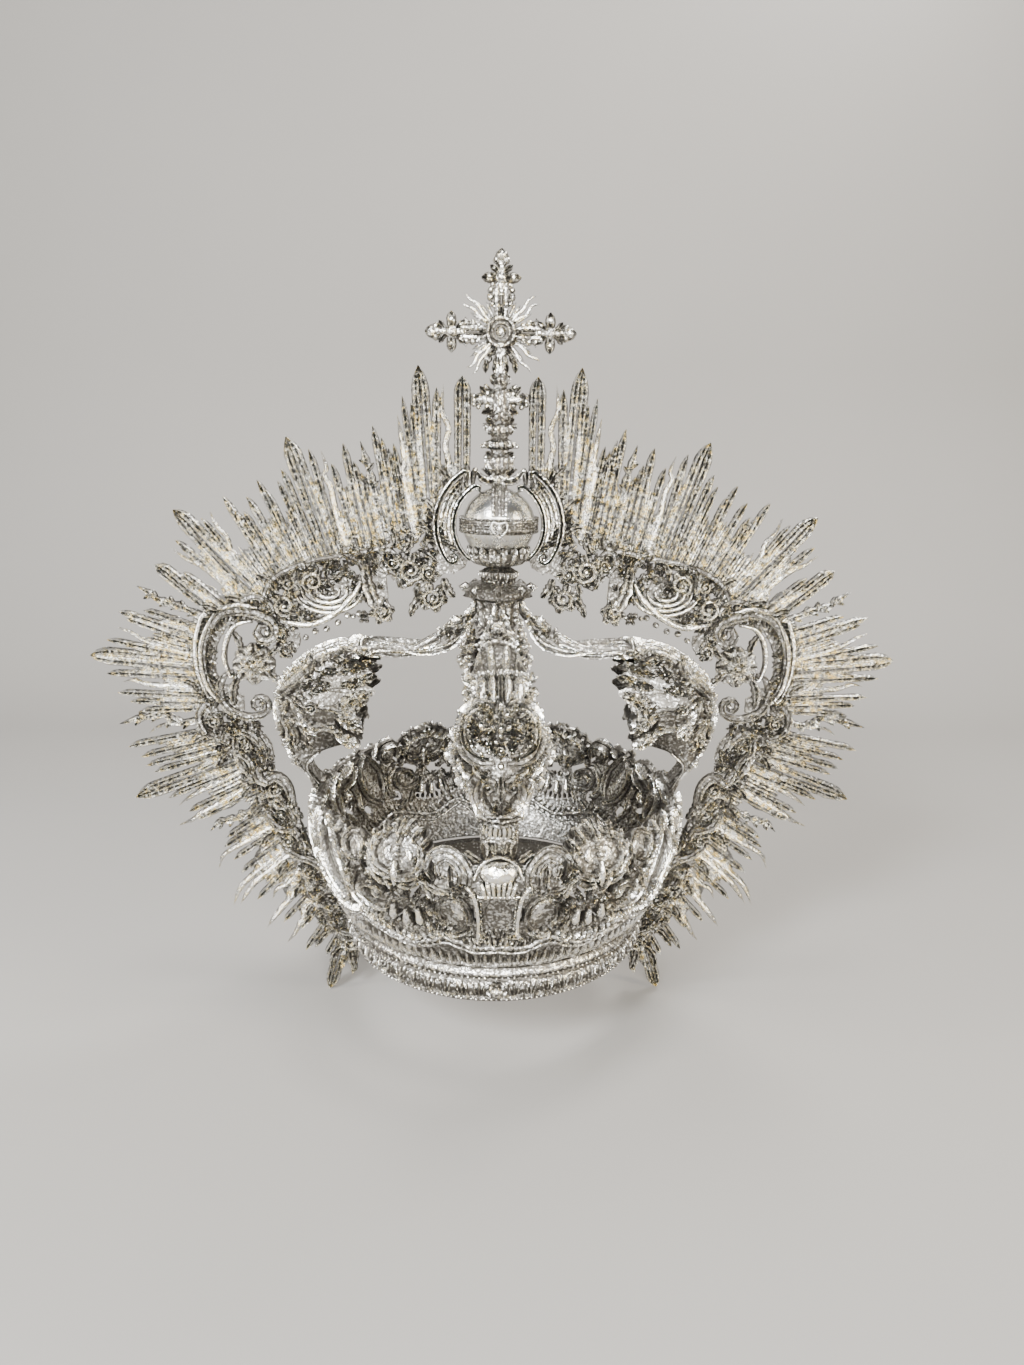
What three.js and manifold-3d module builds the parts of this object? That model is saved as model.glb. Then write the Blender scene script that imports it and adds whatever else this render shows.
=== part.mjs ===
// Imperial crown of worked silver for a life-size religious statue.
// A moulded ring carries a flared basket, four arches rise from the basket to a hub,
// and the hub carries an orb, a stem and a cross. A flat halo of rays stands on each side.
// Millimetres, +Z up, origin at the centre of the ring's lower rim, the front faces -Y.
import * as THREE from 'three';
import { mergeVertices } from 'three/addons/utils/BufferGeometryUtils.js';
import Module from 'manifold-3d';

const wasm = await Module();
wasm.setup();

// ---------- driving dimensions ----------
const GAP = 0.4;                  // clearance left between neighbouring pieces
const AROUND = 72;                // facets around a large round piece
const SMALL_AROUND = 28;          // facets around a small round piece

const RING_RADIUS = 91.5;         // outer radius of the ring's lower rim
const RING_INNER = 86.5;          // clear radius of the head opening
const RING_HEIGHT = 22;
const RING_BOSS = { radius: 6.5, depth: 0.55, sink: 3.4, z: 7.5, around: 12, rows: 8 };

const BASKET_WALL = 3;
const BASKET_AROUND = 120;
const CREST_VALLEY = 84;          // lowest height of the crest, between its leaves
const ARCH_SEAT = 98;             // height of the basket's rim under each arch

const ARCH_WALL = 3;
const ARCH_COUNT = 4;

const HALO_PLATE = 3;             // thickness of the plate that the rays are cut from
const HALO_VALLEY = 0.42;         // how far the gap between two rays reaches towards their roots

const ORB_RADIUS = 22;
const ORB_HEIGHT = 264.7;         // height of the orb's centre
const ORB_ROWS = 18;              // facets from the orb's foot to its top
const ORB_BAND_HEIGHT = 8;
const ORB_BAND_DEPTH = 2.4;
const ORB_BAND_RIM = 0.7;         // depth of the band's rims as a share of its depth
const ORB_BAND_AROUND = 36;
const HEART_PLATE = 2.2;
const MERIDIAN_WIDTH = 10;
const MERIDIAN_DEPTH = 1.6;
const MERIDIAN_STEPS = 20;
const MERIDIAN_START = 15;        // degrees above the equator at which the upright band starts

const CROSS_CENTRE = 373.5;       // height of the cross's centre
const CROSS_PLATE = 5;
const SUNBURST_PLATE = 1.8;
const SUNBURST_RAYS = 7;          // flame points in each of the four corners
const SUNBURST_REACH = 28;
const SUNBURST_ROOT = 9;
const SUNBURST_FAN = 76;          // degrees that the flames of one corner spread over
const SUNBURST_FALL = 0.1;        // how much shorter each flame is than the next one inwards

// Boss over the crossing: radius, and height above the cross's face.
const CROSS_BOSS_PROFILE = [
  { radius: 0, z: 0 },
  { radius: 9.5, z: 0 },
  { radius: 9.5, z: 1.6 },
  { radius: 6, z: 2.2 },
  { radius: 4.2, z: 4.4 },
  { radius: 0, z: 5.2 },
];

// Outline of the ring's moulding, outside only, from the lower rim upwards.
const RING_PROFILE = [
  { radius: RING_RADIUS, z: 0 },
  { radius: RING_RADIUS + 1.5, z: 1.5 },
  { radius: RING_RADIUS + 1.2, z: 3.5 },
  { radius: RING_RADIUS + 3.0, z: 7 },
  { radius: RING_RADIUS + 3.6, z: 10 },
  { radius: RING_RADIUS + 2.6, z: 13.5 },
  { radius: RING_RADIUS + 1.2, z: 15 },
  { radius: RING_RADIUS + 3.0, z: 17.5 },
  { radius: RING_RADIUS + 3.0, z: 19.5 },
  { radius: RING_RADIUS + 1.6, z: RING_HEIGHT },
];

// Outside of the basket's wall: it flares quickly above the ring and closes in at the crest.
const BASKET_PROFILE = [
  { radius: 94.0, z: RING_HEIGHT + GAP },
  { radius: 103.5, z: 34 },
  { radius: 111.0, z: 52 },
  { radius: 116.5, z: 72 },
  { radius: 118.0, z: 86 },
  { radius: 116.0, z: ARCH_SEAT },
  { radius: 110.5, z: 107 },
  { radius: 103.0, z: 114 },
];

// Lobes of the crest: degrees from the front or back arch, half width in degrees, and height.
const CREST_LOBES = [
  { at: 0, half: 10, top: ARCH_SEAT },
  { at: 14, half: 8.5, top: 103.5 },
  { at: 28.5, half: 10, top: 114 },
  { at: 42.5, half: 5.5, top: 102.5 },
  { at: 54, half: 7, top: 104.5 },
  { at: 67, half: 8, top: 101 },
  { at: 79, half: 5, top: 102 },
  { at: 90, half: 9, top: ARCH_SEAT },
];

// Stations of an arch, from its foot on the basket over the shoulder to the hub.
// An arch is a deep channel: its crown line, the edge of its folded sides, and the lip
// of the leafy fringe that closes in below that edge. Distances from the axis, and heights.
const ARCH_STATIONS = [
  { radius: 116.4, z: ARCH_SEAT + GAP, half: 11.5, edge: [110, 98.9], lip: [108.5, 98.9] },
  { radius: 122, z: 105, half: 11.5, edge: [114, 105.5], lip: [112, 105.6] },
  { radius: 129, z: 113, half: 12.2, edge: [118, 114], lip: [114, 114] },
  { radius: 135, z: 122, half: 12.6, edge: [110, 122], lip: [104, 121.5] },
  { radius: 139, z: 134, half: 15, edge: [102, 130], lip: [87, 127] },
  { radius: 140.5, z: 147, half: 22.5, edge: [99, 143], lip: [80, 137] },
  { radius: 139.5, z: 158, half: 27, edge: [100, 153], lip: [81, 149] },
  { radius: 134, z: 170, half: 26, edge: [101, 163], lip: [71, 160] },
  { radius: 123.5, z: 181, half: 22, edge: [99, 172], lip: [69, 171] },
  { radius: 109, z: 189.5, half: 19, edge: [94, 179.5], lip: [74, 180] },
  { radius: 93, z: 194.5, half: 19, edge: [86, 185], lip: [82, 184] },
  { radius: 78, z: 195, half: 18, edge: [76, 187.5], lip: [75, 186.3] },
  { radius: 64, z: 192, half: 16, edge: [63.5, 187.5], lip: [63.3, 186] },
  { radius: 55, z: 192, half: 15.5, edge: [53, 186.5], lip: [52, 185.2] },
  { radius: 47, z: 196, half: 15.5, edge: [44, 185.5], lip: [43, 184.3] },
  { radius: 38, z: 201.5, half: 14.5, edge: [35, 186.5], lip: [34, 185.4] },
  { radius: 29, z: 206.5, half: 12, edge: [26, 190], lip: [25.4, 189] },
  { radius: 21.5, z: 210.5, half: 8.5, edge: [19.6, 197], lip: [19.4, 196] },
  { radius: 16.4, z: 216.5, half: 5, edge: [15.6, 208], lip: [15.5, 207] },
];
// Points across one side of a station: share of the half width, and share of the way from the
// crown to the edge, or past it from the edge to the lip.
const ARCH_SECTION = [
  { across: 0, down: 0 },
  { across: 0.62, down: 0.14 },
  { across: 1, down: 0.52 },
  { across: 0.95, down: 1 },
  { across: 0.72, down: 2 },
];

// Hub, collar and knob that stand on the arches' upper ends.
const HUB_PROFILE = [
  { radius: 0, z: 196 },
  { radius: 6, z: 197.5 },
  { radius: 10.5, z: 202 },
  { radius: 11.5, z: 210 },
  { radius: 11.5, z: 218.5 },
  { radius: 20, z: 221.5 },
  { radius: 21, z: 225.5 },
  { radius: 15, z: 229.5 },
  { radius: 9, z: 230.5 },
  { radius: 11.8, z: 233.5 },
  { radius: 11.8, z: 236.5 },
  { radius: 6, z: 239.2 },
  { radius: 0, z: 239.2 },
];

// Leafy cup that holds the orb; its inside follows the orb.
const CUP_PROFILE = [
  { radius: 0, z: 239.6 },
  { radius: 9, z: 239.6 },
  { radius: 14.2, z: 241.2 },
  { radius: 17.2, z: 244.4 },
  { radius: 18.2, z: 248.4 },
];
const CUP_STEPS = 7;

// Baluster stem between the orb and the cross.
const STEM_PROFILE = [
  { radius: 0, z: 293.4 },
  { radius: 4.2, z: 293.4 },
  { radius: 6.8, z: 297.5 },
  { radius: 6.8, z: 302 },
  { radius: 3.8, z: 306 },
  { radius: 7.4, z: 309.5 },
  { radius: 7.4, z: 312.5 },
  { radius: 3.8, z: 316 },
  { radius: 6.6, z: 318.5 },
  { radius: 6.6, z: 321 },
  { radius: 4.4, z: 324 },
  { radius: 5.2, z: 331 },
  { radius: 5.2, z: 339 },
  { radius: 3.4, z: 343.5 },
  { radius: 5.4, z: 348 },
  { radius: 4.2, z: 351.2 },
  { radius: 0, z: 351.2 },
];
// Front outlines of the heart on the orb's band and of the crescent under the stem: across, height.
const HEART_OUTLINE = [
  [0, -6.5],
  [4.5, -1.5],
  [4.8, 2.5],
  [2.4, 4.6],
  [0, 3.2],
  [-2.4, 4.6],
  [-4.8, 2.5],
  [-4.5, -1.5],
];
const CRESCENT_OUTLINE = [
  [-3.5, 289.1],
  [3.5, 289.1],
  [10, 291],
  [15, 298],
  [9.5, 295.2],
  [5, 292.9],
  [-5, 292.9],
  [-9.5, 295.2],
  [-15, 298],
  [-10, 291],
];
const CRESCENT_PLATE = 6;
const STEM_ARM_HEIGHT = 336;      // height of the two leafy arms that meet the halo
const STEM_ARM_REACH = 16.4;
const STEM_ARM_DEPTH = 3.6;
const STEM_ARM_TALL = 6.4;
const STEM_AROUND = 20;

// Half outline of one arm of the cross, from its centre outwards: knobs, leaves and a bud.
const CROSS_ARM = [
  { along: 5, half: 5 },
  { along: 12, half: 6.5 },
  { along: 17, half: 4.5 },
  { along: 20, half: 8 },
  { along: 24, half: 4.5 },
  { along: 28, half: 12 },
  { along: 31.5, half: 5 },
  { along: 35, half: 6 },
  { along: 39, half: 3.5 },
  { along: 43.6, half: 0.8 },
];
const CROSS_SIDE_REACH = 43.6;
const CROSS_TOP_REACH = 44.8;
const CROSS_FOOT_REACH = 21.5;    // the lower arm is short and stands on the stem
// Outline of the lower arm from its right root round to its left root: across, height.
const CROSS_FOOT = [
  [5, -5],
  [4, -12],
  [6, -17],
  [3.4, -CROSS_FOOT_REACH],
  [-3.4, -CROSS_FOOT_REACH],
  [-6, -17],
  [-4, -12],
  [-5, -5],
];

// Rays of one halo half. Distances out from the crown's axis, and heights.
const HALO_RAYS = [
  { tipOut: 21.5, tipZ: 349, rootOut: 22, rootZ: 293 },
  { tipOut: 34, tipZ: 344, rootOut: 31, rootZ: 290 },
  { tipOut: 47, tipZ: 355, rootOut: 38, rootZ: 272 },
  { tipOut: 57, tipZ: 330, rootOut: 48, rootZ: 254 },
  { tipOut: 73, tipZ: 321, rootOut: 60, rootZ: 243 },
  { tipOut: 88, tipZ: 312, rootOut: 72, rootZ: 242 },
  { tipOut: 106, tipZ: 305.5, rootOut: 84, rootZ: 239 },
  { tipOut: 125, tipZ: 313, rootOut: 96, rootZ: 233 },
  { tipOut: 137, tipZ: 288.5, rootOut: 106, rootZ: 227 },
  { tipOut: 148, tipZ: 279, rootOut: 115, rootZ: 224 },
  { tipOut: 161, tipZ: 278, rootOut: 126, rootZ: 224 },
  { tipOut: 175, tipZ: 268, rootOut: 136, rootZ: 223.5 },
  { tipOut: 192, tipZ: 269.5, rootOut: 146, rootZ: 222 },
  { tipOut: 194, tipZ: 249, rootOut: 156, rootZ: 216 },
  { tipOut: 205.5, tipZ: 237, rootOut: 165, rootZ: 210 },
  { tipOut: 217, tipZ: 224.5, rootOut: 173, rootZ: 204 },
  { tipOut: 229, tipZ: 207, rootOut: 178, rootZ: 196 },
  { tipOut: 238, tipZ: 192, rootOut: 180, rootZ: 187 },
  { tipOut: 250, tipZ: 183, rootOut: 181, rootZ: 178 },
  { tipOut: 240.5, tipZ: 172, rootOut: 182, rootZ: 168 },
  { tipOut: 235, tipZ: 157, rootOut: 181, rootZ: 157 },
  { tipOut: 234, tipZ: 138, rootOut: 178, rootZ: 145 },
  { tipOut: 229, tipZ: 124, rootOut: 172, rootZ: 132 },
  { tipOut: 228, tipZ: 89, rootOut: 160, rootZ: 112 },
  { tipOut: 210, tipZ: 88, rootOut: 150, rootZ: 104 },
  { tipOut: 201.5, tipZ: 71, rootOut: 146, rootZ: 92 },
  { tipOut: 182, tipZ: 68, rootOut: 139, rootZ: 80 },
  { tipOut: 179, tipZ: 43, rootOut: 132, rootZ: 66 },
  { tipOut: 170, tipZ: 15.5, rootOut: 126, rootZ: 50 },
  { tipOut: 150, tipZ: -2, rootOut: 119, rootZ: 36 },
  { tipOut: 138.5, tipZ: -10, rootOut: 113, rootZ: 24 },
  { tipOut: 125.5, tipZ: -18, rootOut: 107, rootZ: 13 },
  { tipOut: 111, tipZ: -47.5, rootOut: 99, rootZ: -8 },
];

// Inner edge of one halo half above the arches, from the innermost ray down to the shoulder.
const HALO_INNER_TOP = [
  { out: 17.2, z: 337 },
  { out: 17.6, z: 302 },
  { out: 26.5, z: 290 },
  { out: 30.5, z: 267 },
  { out: 28, z: 243 },
  { out: 26, z: 226 },
  { out: 35.5, z: 213 },
  { out: 45, z: 218.5 },
  { out: 60, z: 218 },
  { out: 66, z: 201.5 },
  { out: 74, z: 203 },
  { out: 91, z: 205.5 },
  { out: 109, z: 198.5 },
  { out: 123, z: 187.5 },
];
const HALO_FOOT = [
  { out: RING_RADIUS + 4.6, z: 10 },
  { out: RING_RADIUS + 4.6, z: -6 },
];
const HALO_CLEARANCE = 0.8;       // the inner edge keeps this far outside the arch and basket

// ---------- finishes ----------
function silver(color, roughness) {
  return new THREE.MeshStandardMaterial({ color, roughness, metalness: 1 });
}

const finishes = {
  polished: silver(0xcfd2d4, 0.18),
  chased: silver(0xb9bcc0, 0.28),
  gilt: silver(0xc9bf9c, 0.25),
};

// ---------- solids ----------
const radians = THREE.MathUtils.degToRad;

function signedVolume(geometry) {
  const position = geometry.attributes.position;
  const index = geometry.index;
  const a = new THREE.Vector3();
  const b = new THREE.Vector3();
  const c = new THREE.Vector3();
  let volume = 0;
  for (let i = 0; i < index.count; i += 3) {
    a.fromBufferAttribute(position, index.getX(i));
    b.fromBufferAttribute(position, index.getX(i + 1));
    c.fromBufferAttribute(position, index.getX(i + 2));
    volume += a.dot(b.cross(c)) / 6;
  }
  return volume;
}

function faceOutwards(geometry) {
  if (signedVolume(geometry) < 0) {
    const index = geometry.index;
    for (let i = 0; i < index.count; i += 3) {
      const second = index.getX(i + 1);
      index.setX(i + 1, index.getX(i + 2));
      index.setX(i + 2, second);
    }
  }
  return geometry;
}

// Shares the corners of a closed geometry and turns its faces outwards.
function welded(geometry) {
  const bare = geometry.index ? geometry : mergeVertices(geometry);
  bare.deleteAttribute('normal');
  bare.deleteAttribute('uv');
  return faceOutwards(mergeVertices(bare, 1e-3));
}

function toManifold(geometry) {
  const solid = welded(geometry);
  const vertProperties = new Float32Array(solid.attributes.position.array);
  const triVerts = new Uint32Array(solid.index.array);
  return new wasm.Manifold(new wasm.Mesh({ numProp: 3, vertProperties, triVerts }));
}

function fromManifold(solid) {
  const mesh = solid.getMesh();
  const geometry = new THREE.BufferGeometry();
  geometry.setAttribute('position', new THREE.BufferAttribute(mesh.vertProperties, 3));
  geometry.setIndex(new THREE.BufferAttribute(mesh.triVerts, 1));
  return geometry;
}

function joined(geometries) {
  const solids = geometries.map(toManifold);
  return fromManifold(solids.reduce((whole, next) => whole.add(next)));
}

function piece(name, geometry, finish) {
  const mesh = new THREE.Mesh(geometry, finish.clone());
  mesh.name = name;
  return mesh;
}

// A solid turned about Z from a closed outline of { radius, z } rows.
function turned(profile, around) {
  const closes = profile[0].radius > 0;
  const rows = closes ? [...profile, profile[0]] : profile;
  const points = rows.map(({ radius, z }) => new THREE.Vector2(radius, z));
  const geometry = new THREE.LatheGeometry(points, around);
  geometry.rotateX(Math.PI / 2);
  return welded(geometry);
}

// A thick sheet from two grids of points, outside and inside, joined along their rims.
// Rows run along the sheet, columns across it. A ring-shaped sheet joins its last row to its first.
function thickSheet(outside, inside, ringShaped) {
  const rows = outside.length;
  const columns = outside[0].length;
  const corners = [];
  const faces = [];
  const outer = (i, j) => (i % rows) * columns + j;
  const inner = (i, j) => rows * columns + outer(i, j);
  const quad = (a, b, c, d) => faces.push(a, b, c, a, c, d);
  for (const grid of [outside, inside]) {
    grid.flat().forEach((point) => corners.push(point.x, point.y, point.z));
  }
  const lastRow = ringShaped ? rows : rows - 1;
  for (let i = 0; i < lastRow; i += 1) {
    for (let j = 0; j < columns - 1; j += 1) {
      quad(outer(i, j), outer(i + 1, j), outer(i + 1, j + 1), outer(i, j + 1));
      quad(inner(i, j), inner(i, j + 1), inner(i + 1, j + 1), inner(i + 1, j));
    }
    quad(outer(i, 0), inner(i, 0), inner(i + 1, 0), outer(i + 1, 0));
    const end = columns - 1;
    quad(outer(i, end), outer(i + 1, end), inner(i + 1, end), inner(i, end));
  }
  if (!ringShaped) {
    for (let j = 0; j < columns - 1; j += 1) {
      const last = rows - 1;
      quad(outer(0, j), outer(0, j + 1), inner(0, j + 1), inner(0, j));
      quad(outer(last, j), inner(last, j), inner(last, j + 1), outer(last, j + 1));
    }
  }
  const geometry = new THREE.BufferGeometry();
  geometry.setAttribute('position', new THREE.Float32BufferAttribute(corners, 3));
  geometry.setIndex(faces);
  return faceOutwards(geometry);
}

// A flat plate cut to an outline of [across, height] points, standing in the XZ plane.
function uprightPlate(outline, thickness, front) {
  const shape = new THREE.Shape(outline.map(([across, height]) => new THREE.Vector2(across, height)));
  const geometry = new THREE.ExtrudeGeometry(shape, { depth: thickness, bevelEnabled: false });
  geometry.rotateX(Math.PI / 2);
  geometry.translate(0, front + thickness, 0);
  return welded(geometry);
}

function interpolate(table, key, at, value) {
  const next = table.findIndex((row) => row[key] >= at);
  if (next <= 0) {
    return next === 0 ? table[0][value] : table.at(-1)[value];
  }
  const [low, high] = [table[next - 1], table[next]];
  const part = (at - low[key]) / (high[key] - low[key]);
  return low[value] + part * (high[value] - low[value]);
}

// ---------- ring ----------
function makeRing() {
  const inside = [
    { radius: RING_INNER, z: RING_HEIGHT },
    { radius: RING_INNER, z: 0 },
  ];
  const band = turned([...RING_PROFILE, ...inside], AROUND);
  const boss = new THREE.SphereGeometry(RING_BOSS.radius, RING_BOSS.around, RING_BOSS.rows);
  boss.scale(1, RING_BOSS.depth, 1);
  boss.translate(0, -RING_RADIUS - RING_BOSS.sink, RING_BOSS.z);
  return piece('base_ring', joined([band, boss]), finishes.chased);
}

// ---------- basket ----------
// Height of the crest at an azimuth: the highest of the round-headed lobes that stand there.
function crestHeight(azimuth) {
  const fromFront = (azimuth + 90) % 180;
  const away = Math.min(fromFront, 180 - fromFront);
  const heights = CREST_LOBES.map(({ at, half, top }) => {
    const rise = Math.max(0, 1 - ((away - at) / half) ** 4);
    return CREST_VALLEY + (top - CREST_VALLEY) * rise ** 0.25;
  });
  return Math.max(...heights);
}

function basketSection(azimuth, inset) {
  const top = crestHeight(azimuth);
  const steps = BASKET_PROFILE.length;
  const foot = BASKET_PROFILE[0].z;
  const direction = radians(azimuth);
  return Array.from({ length: steps }, (_, row) => {
    const z = foot + (top - foot) * (row / (steps - 1));
    const radius = interpolate(BASKET_PROFILE, 'z', z, 'radius') - inset;
    return new THREE.Vector3(radius * Math.cos(direction), radius * Math.sin(direction), z);
  });
}

function makeBasket() {
  const azimuths = Array.from({ length: BASKET_AROUND }, (_, i) => (360 * i) / BASKET_AROUND);
  const outside = azimuths.map((azimuth) => basketSection(azimuth, 0));
  const inside = azimuths.map((azimuth) => basketSection(azimuth, BASKET_WALL));
  return piece('basket', thickSheet(outside, inside, true), finishes.chased);
}

// ---------- arches ----------
function mix(from, to, share) {
  return from + (to - from) * share;
}

// A point of an arch's outer face: one station, one side, one row of the section.
function archPoint({ radius, z, half, edge, lip }, { across, down }, side) {
  const toEdge = Math.min(down, 1);
  const toLip = Math.max(down - 1, 0);
  const reach = mix(mix(radius, edge[0], toEdge), lip[0], toLip);
  const height = mix(mix(z, edge[1], toEdge), lip[1], toLip);
  return new THREE.Vector3(reach, half * across * side, height);
}

// The outer face of an arch as a grid, and the same face moved inwards by a wall's thickness.
function archGrids() {
  const left = ARCH_SECTION.slice(1).reverse();
  const outside = ARCH_STATIONS.map((station) => [
    ...left.map((row) => archPoint(station, row, -1)),
    ...ARCH_SECTION.map((row) => archPoint(station, row, 1)),
  ]);
  const last = outside.length - 1;
  const inside = outside.map((row, i) => row.map((point, j) => {
    const along = outside[Math.min(i + 1, last)][j].clone().sub(outside[Math.max(i - 1, 0)][j]);
    const across = row[Math.min(j + 1, row.length - 1)].clone().sub(row[Math.max(j - 1, 0)]);
    const outward = across.cross(along).normalize();
    return point.clone().addScaledVector(outward, -ARCH_WALL);
  }));
  return { outside, inside };
}

function makeArch(name, azimuth) {
  const { outside, inside } = archGrids();
  const geometry = thickSheet(outside, inside, false);
  const arch = piece(name, geometry, finishes.chased);
  arch.rotation.z = radians(azimuth);
  return arch;
}

function makeArches() {
  const names = ['arch_right', 'arch_back', 'arch_left', 'arch_front'];
  const arches = new THREE.Group();
  names.forEach((name, i) => arches.add(makeArch(name, (360 * i) / ARCH_COUNT)));
  return arches;
}

// ---------- hub, orb and its mounts ----------
function makeHub() {
  return piece('hub', turned(HUB_PROFILE, SMALL_AROUND), finishes.chased);
}

function makeOrbCup() {
  const seat = ORB_RADIUS + GAP;
  const top = CUP_PROFILE.at(-1).z;
  const inside = Array.from({ length: CUP_STEPS }, (_, i) => {
    const rise = (top - ORB_HEIGHT) / seat;
    const angle = Math.asin(rise) + (-Math.PI / 2 - Math.asin(rise)) * (i / (CUP_STEPS - 1));
    const radius = i === CUP_STEPS - 1 ? 0 : seat * Math.cos(angle);
    return { radius, z: ORB_HEIGHT + seat * Math.sin(angle) };
  });
  return piece('orb_cup', turned([...CUP_PROFILE, ...inside], SMALL_AROUND), finishes.chased);
}

function makeOrb() {
  const orb = new THREE.SphereGeometry(ORB_RADIUS, SMALL_AROUND, ORB_ROWS);
  orb.rotateX(Math.PI / 2);
  const mesh = piece('orb', welded(orb), finishes.polished);
  mesh.position.z = ORB_HEIGHT;
  return mesh;
}

function makeEquatorBand() {
  const low = ORB_RADIUS + GAP;
  const half = ORB_BAND_HEIGHT / 2;
  const profile = [
    { radius: low, z: -half },
    { radius: low + ORB_BAND_DEPTH * ORB_BAND_RIM, z: -half },
    { radius: low + ORB_BAND_DEPTH, z: 0 },
    { radius: low + ORB_BAND_DEPTH * ORB_BAND_RIM, z: half },
    { radius: low, z: half },
  ];
  const band = piece('orb_equator_band', turned(profile, ORB_BAND_AROUND), finishes.chased);
  band.position.z = ORB_HEIGHT;
  return band;
}

// A strap over the orb's top, from the equator in front to the equator behind.
function makeMeridianBand() {
  const steps = MERIDIAN_STEPS;
  const low = ORB_RADIUS + GAP;
  const half = MERIDIAN_WIDTH / 2;
  const grid = (radius) => Array.from({ length: steps + 1 }, (_, i) => {
    const angle = radians(MERIDIAN_START + ((180 - 2 * MERIDIAN_START) * i) / steps);
    const reach = radius * Math.cos(angle);
    const z = ORB_HEIGHT + radius * Math.sin(angle);
    return [-half, half].map((across) => new THREE.Vector3(across, reach, z));
  });
  const geometry = thickSheet(grid(low + MERIDIAN_DEPTH), grid(low), false);
  return piece('orb_meridian_band', geometry, finishes.chased);
}

// Heart-shaped boss on the front of the equator band.
function makeOrbHeart() {
  const front = -(ORB_RADIUS + GAP + ORB_BAND_DEPTH + GAP) - HEART_PLATE;
  const heart = piece('orb_heart', uprightPlate(HEART_OUTLINE, HEART_PLATE, front), finishes.polished);
  heart.position.z = ORB_HEIGHT;
  return heart;
}

// ---------- stem and cross ----------
function makeCrescent() {
  const collar = uprightPlate(CRESCENT_OUTLINE, CRESCENT_PLATE, -CRESCENT_PLATE / 2);
  return piece('crescent_collar', collar, finishes.chased);
}

function makeStem() {
  const baluster = turned(STEM_PROFILE, STEM_AROUND);
  const arms = new THREE.BoxGeometry(2 * STEM_ARM_REACH, STEM_ARM_DEPTH, STEM_ARM_TALL);
  arms.translate(0, 0, STEM_ARM_HEIGHT);
  return piece('stem', joined([baluster, arms]), finishes.chased);
}

function crossArm(angle, reach) {
  const stretch = reach / CROSS_ARM.at(-1).along;
  const rows = CROSS_ARM.map(({ along, half }) => ({ along: along * stretch, half }));
  const near = rows.map(({ along, half }) => new THREE.Vector2(along, -half));
  const far = rows.map(({ along, half }) => new THREE.Vector2(along, half)).reverse();
  const turn = radians(angle);
  return [...near, ...far].map((point) => point.rotateAround(new THREE.Vector2(), turn));
}

// One closed outline around the cross: half of its foot, the three free arms, the rest of the foot.
function makeCross() {
  const half = CROSS_FOOT.length / 2;
  const arms = [
    crossArm(180, CROSS_SIDE_REACH),
    crossArm(90, CROSS_TOP_REACH),
    crossArm(0, CROSS_SIDE_REACH),
  ];
  const freeArms = arms.flatMap((arm) => [...arm].reverse().map(({ x, y }) => [x, y]));
  const outline = [...CROSS_FOOT.slice(half), ...freeArms, ...CROSS_FOOT.slice(0, half)];
  const cross = piece('cross', uprightPlate(outline, CROSS_PLATE, -CROSS_PLATE / 2), finishes.gilt);
  cross.position.z = CROSS_CENTRE;
  return cross;
}

// Flame points in the four corners of the cross, on a thin plate behind it.
function makeSunburst() {
  const outline = [];
  for (let corner = 0; corner < 4; corner += 1) {
    for (let ray = 0; ray < SUNBURST_RAYS; ray += 1) {
      const step = SUNBURST_FAN / (SUNBURST_RAYS - 1);
      const middle = 90 * (corner + 0.5);
      const angle = middle - SUNBURST_FAN / 2 + step * ray;
      const longest = 1 - SUNBURST_FALL * Math.abs(ray - (SUNBURST_RAYS - 1) / 2);
      const next = angle + step / 2;
      outline.push([SUNBURST_REACH * longest, angle], [SUNBURST_ROOT, next]);
    }
  }
  const points = outline.map(([reach, angle]) => [
    reach * Math.cos(radians(angle)),
    reach * Math.sin(radians(angle)),
  ]);
  const behind = CROSS_PLATE / 2 + GAP;
  const sunburst = piece('cross_sunburst', uprightPlate(points, SUNBURST_PLATE, behind), finishes.gilt);
  sunburst.position.z = CROSS_CENTRE;
  return sunburst;
}

function makeCrossBoss() {
  const geometry = turned(CROSS_BOSS_PROFILE, STEM_AROUND);
  geometry.rotateX(Math.PI / 2);
  geometry.translate(0, -CROSS_PLATE / 2 - GAP, CROSS_CENTRE);
  return piece('cross_boss', geometry, finishes.gilt);
}

// ---------- halo ----------
// Outer edge: up one side of each ray and down the other, with a gap between neighbours.
function haloOuterEdge() {
  const edge = [];
  HALO_RAYS.forEach((ray, i) => {
    edge.push([ray.tipOut, ray.tipZ]);
    const next = HALO_RAYS[i + 1];
    if (next) {
      const tipOut = (ray.tipOut + next.tipOut) / 2;
      const tipZ = (ray.tipZ + next.tipZ) / 2;
      const rootOut = (ray.rootOut + next.rootOut) / 2;
      const rootZ = (ray.rootZ + next.rootZ) / 2;
      edge.push([tipOut + HALO_VALLEY * (rootOut - tipOut), tipZ + HALO_VALLEY * (rootZ - tipZ)]);
    }
  });
  return edge;
}

// Inner edge: around the orb, over the arch with a gap, then close along the arch and the basket.
function haloInnerEdge() {
  const shoulder = ARCH_STATIONS.filter(({ z, radius }) => radius > 125).reverse();
  const alongArch = shoulder.map(({ radius, z }) => [radius + HALO_CLEARANCE, z]);
  const wall = BASKET_PROFILE.filter(({ z }) => z < ARCH_SEAT).reverse();
  const alongBasket = wall.map(({ radius, z }) => [radius + 2 * HALO_CLEARANCE, z]);
  const top = HALO_INNER_TOP.map(({ out, z }) => [out, z]);
  const foot = HALO_FOOT.map(({ out, z }) => [out, z]);
  return [...top, ...alongArch, ...alongBasket, ...foot];
}

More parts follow.
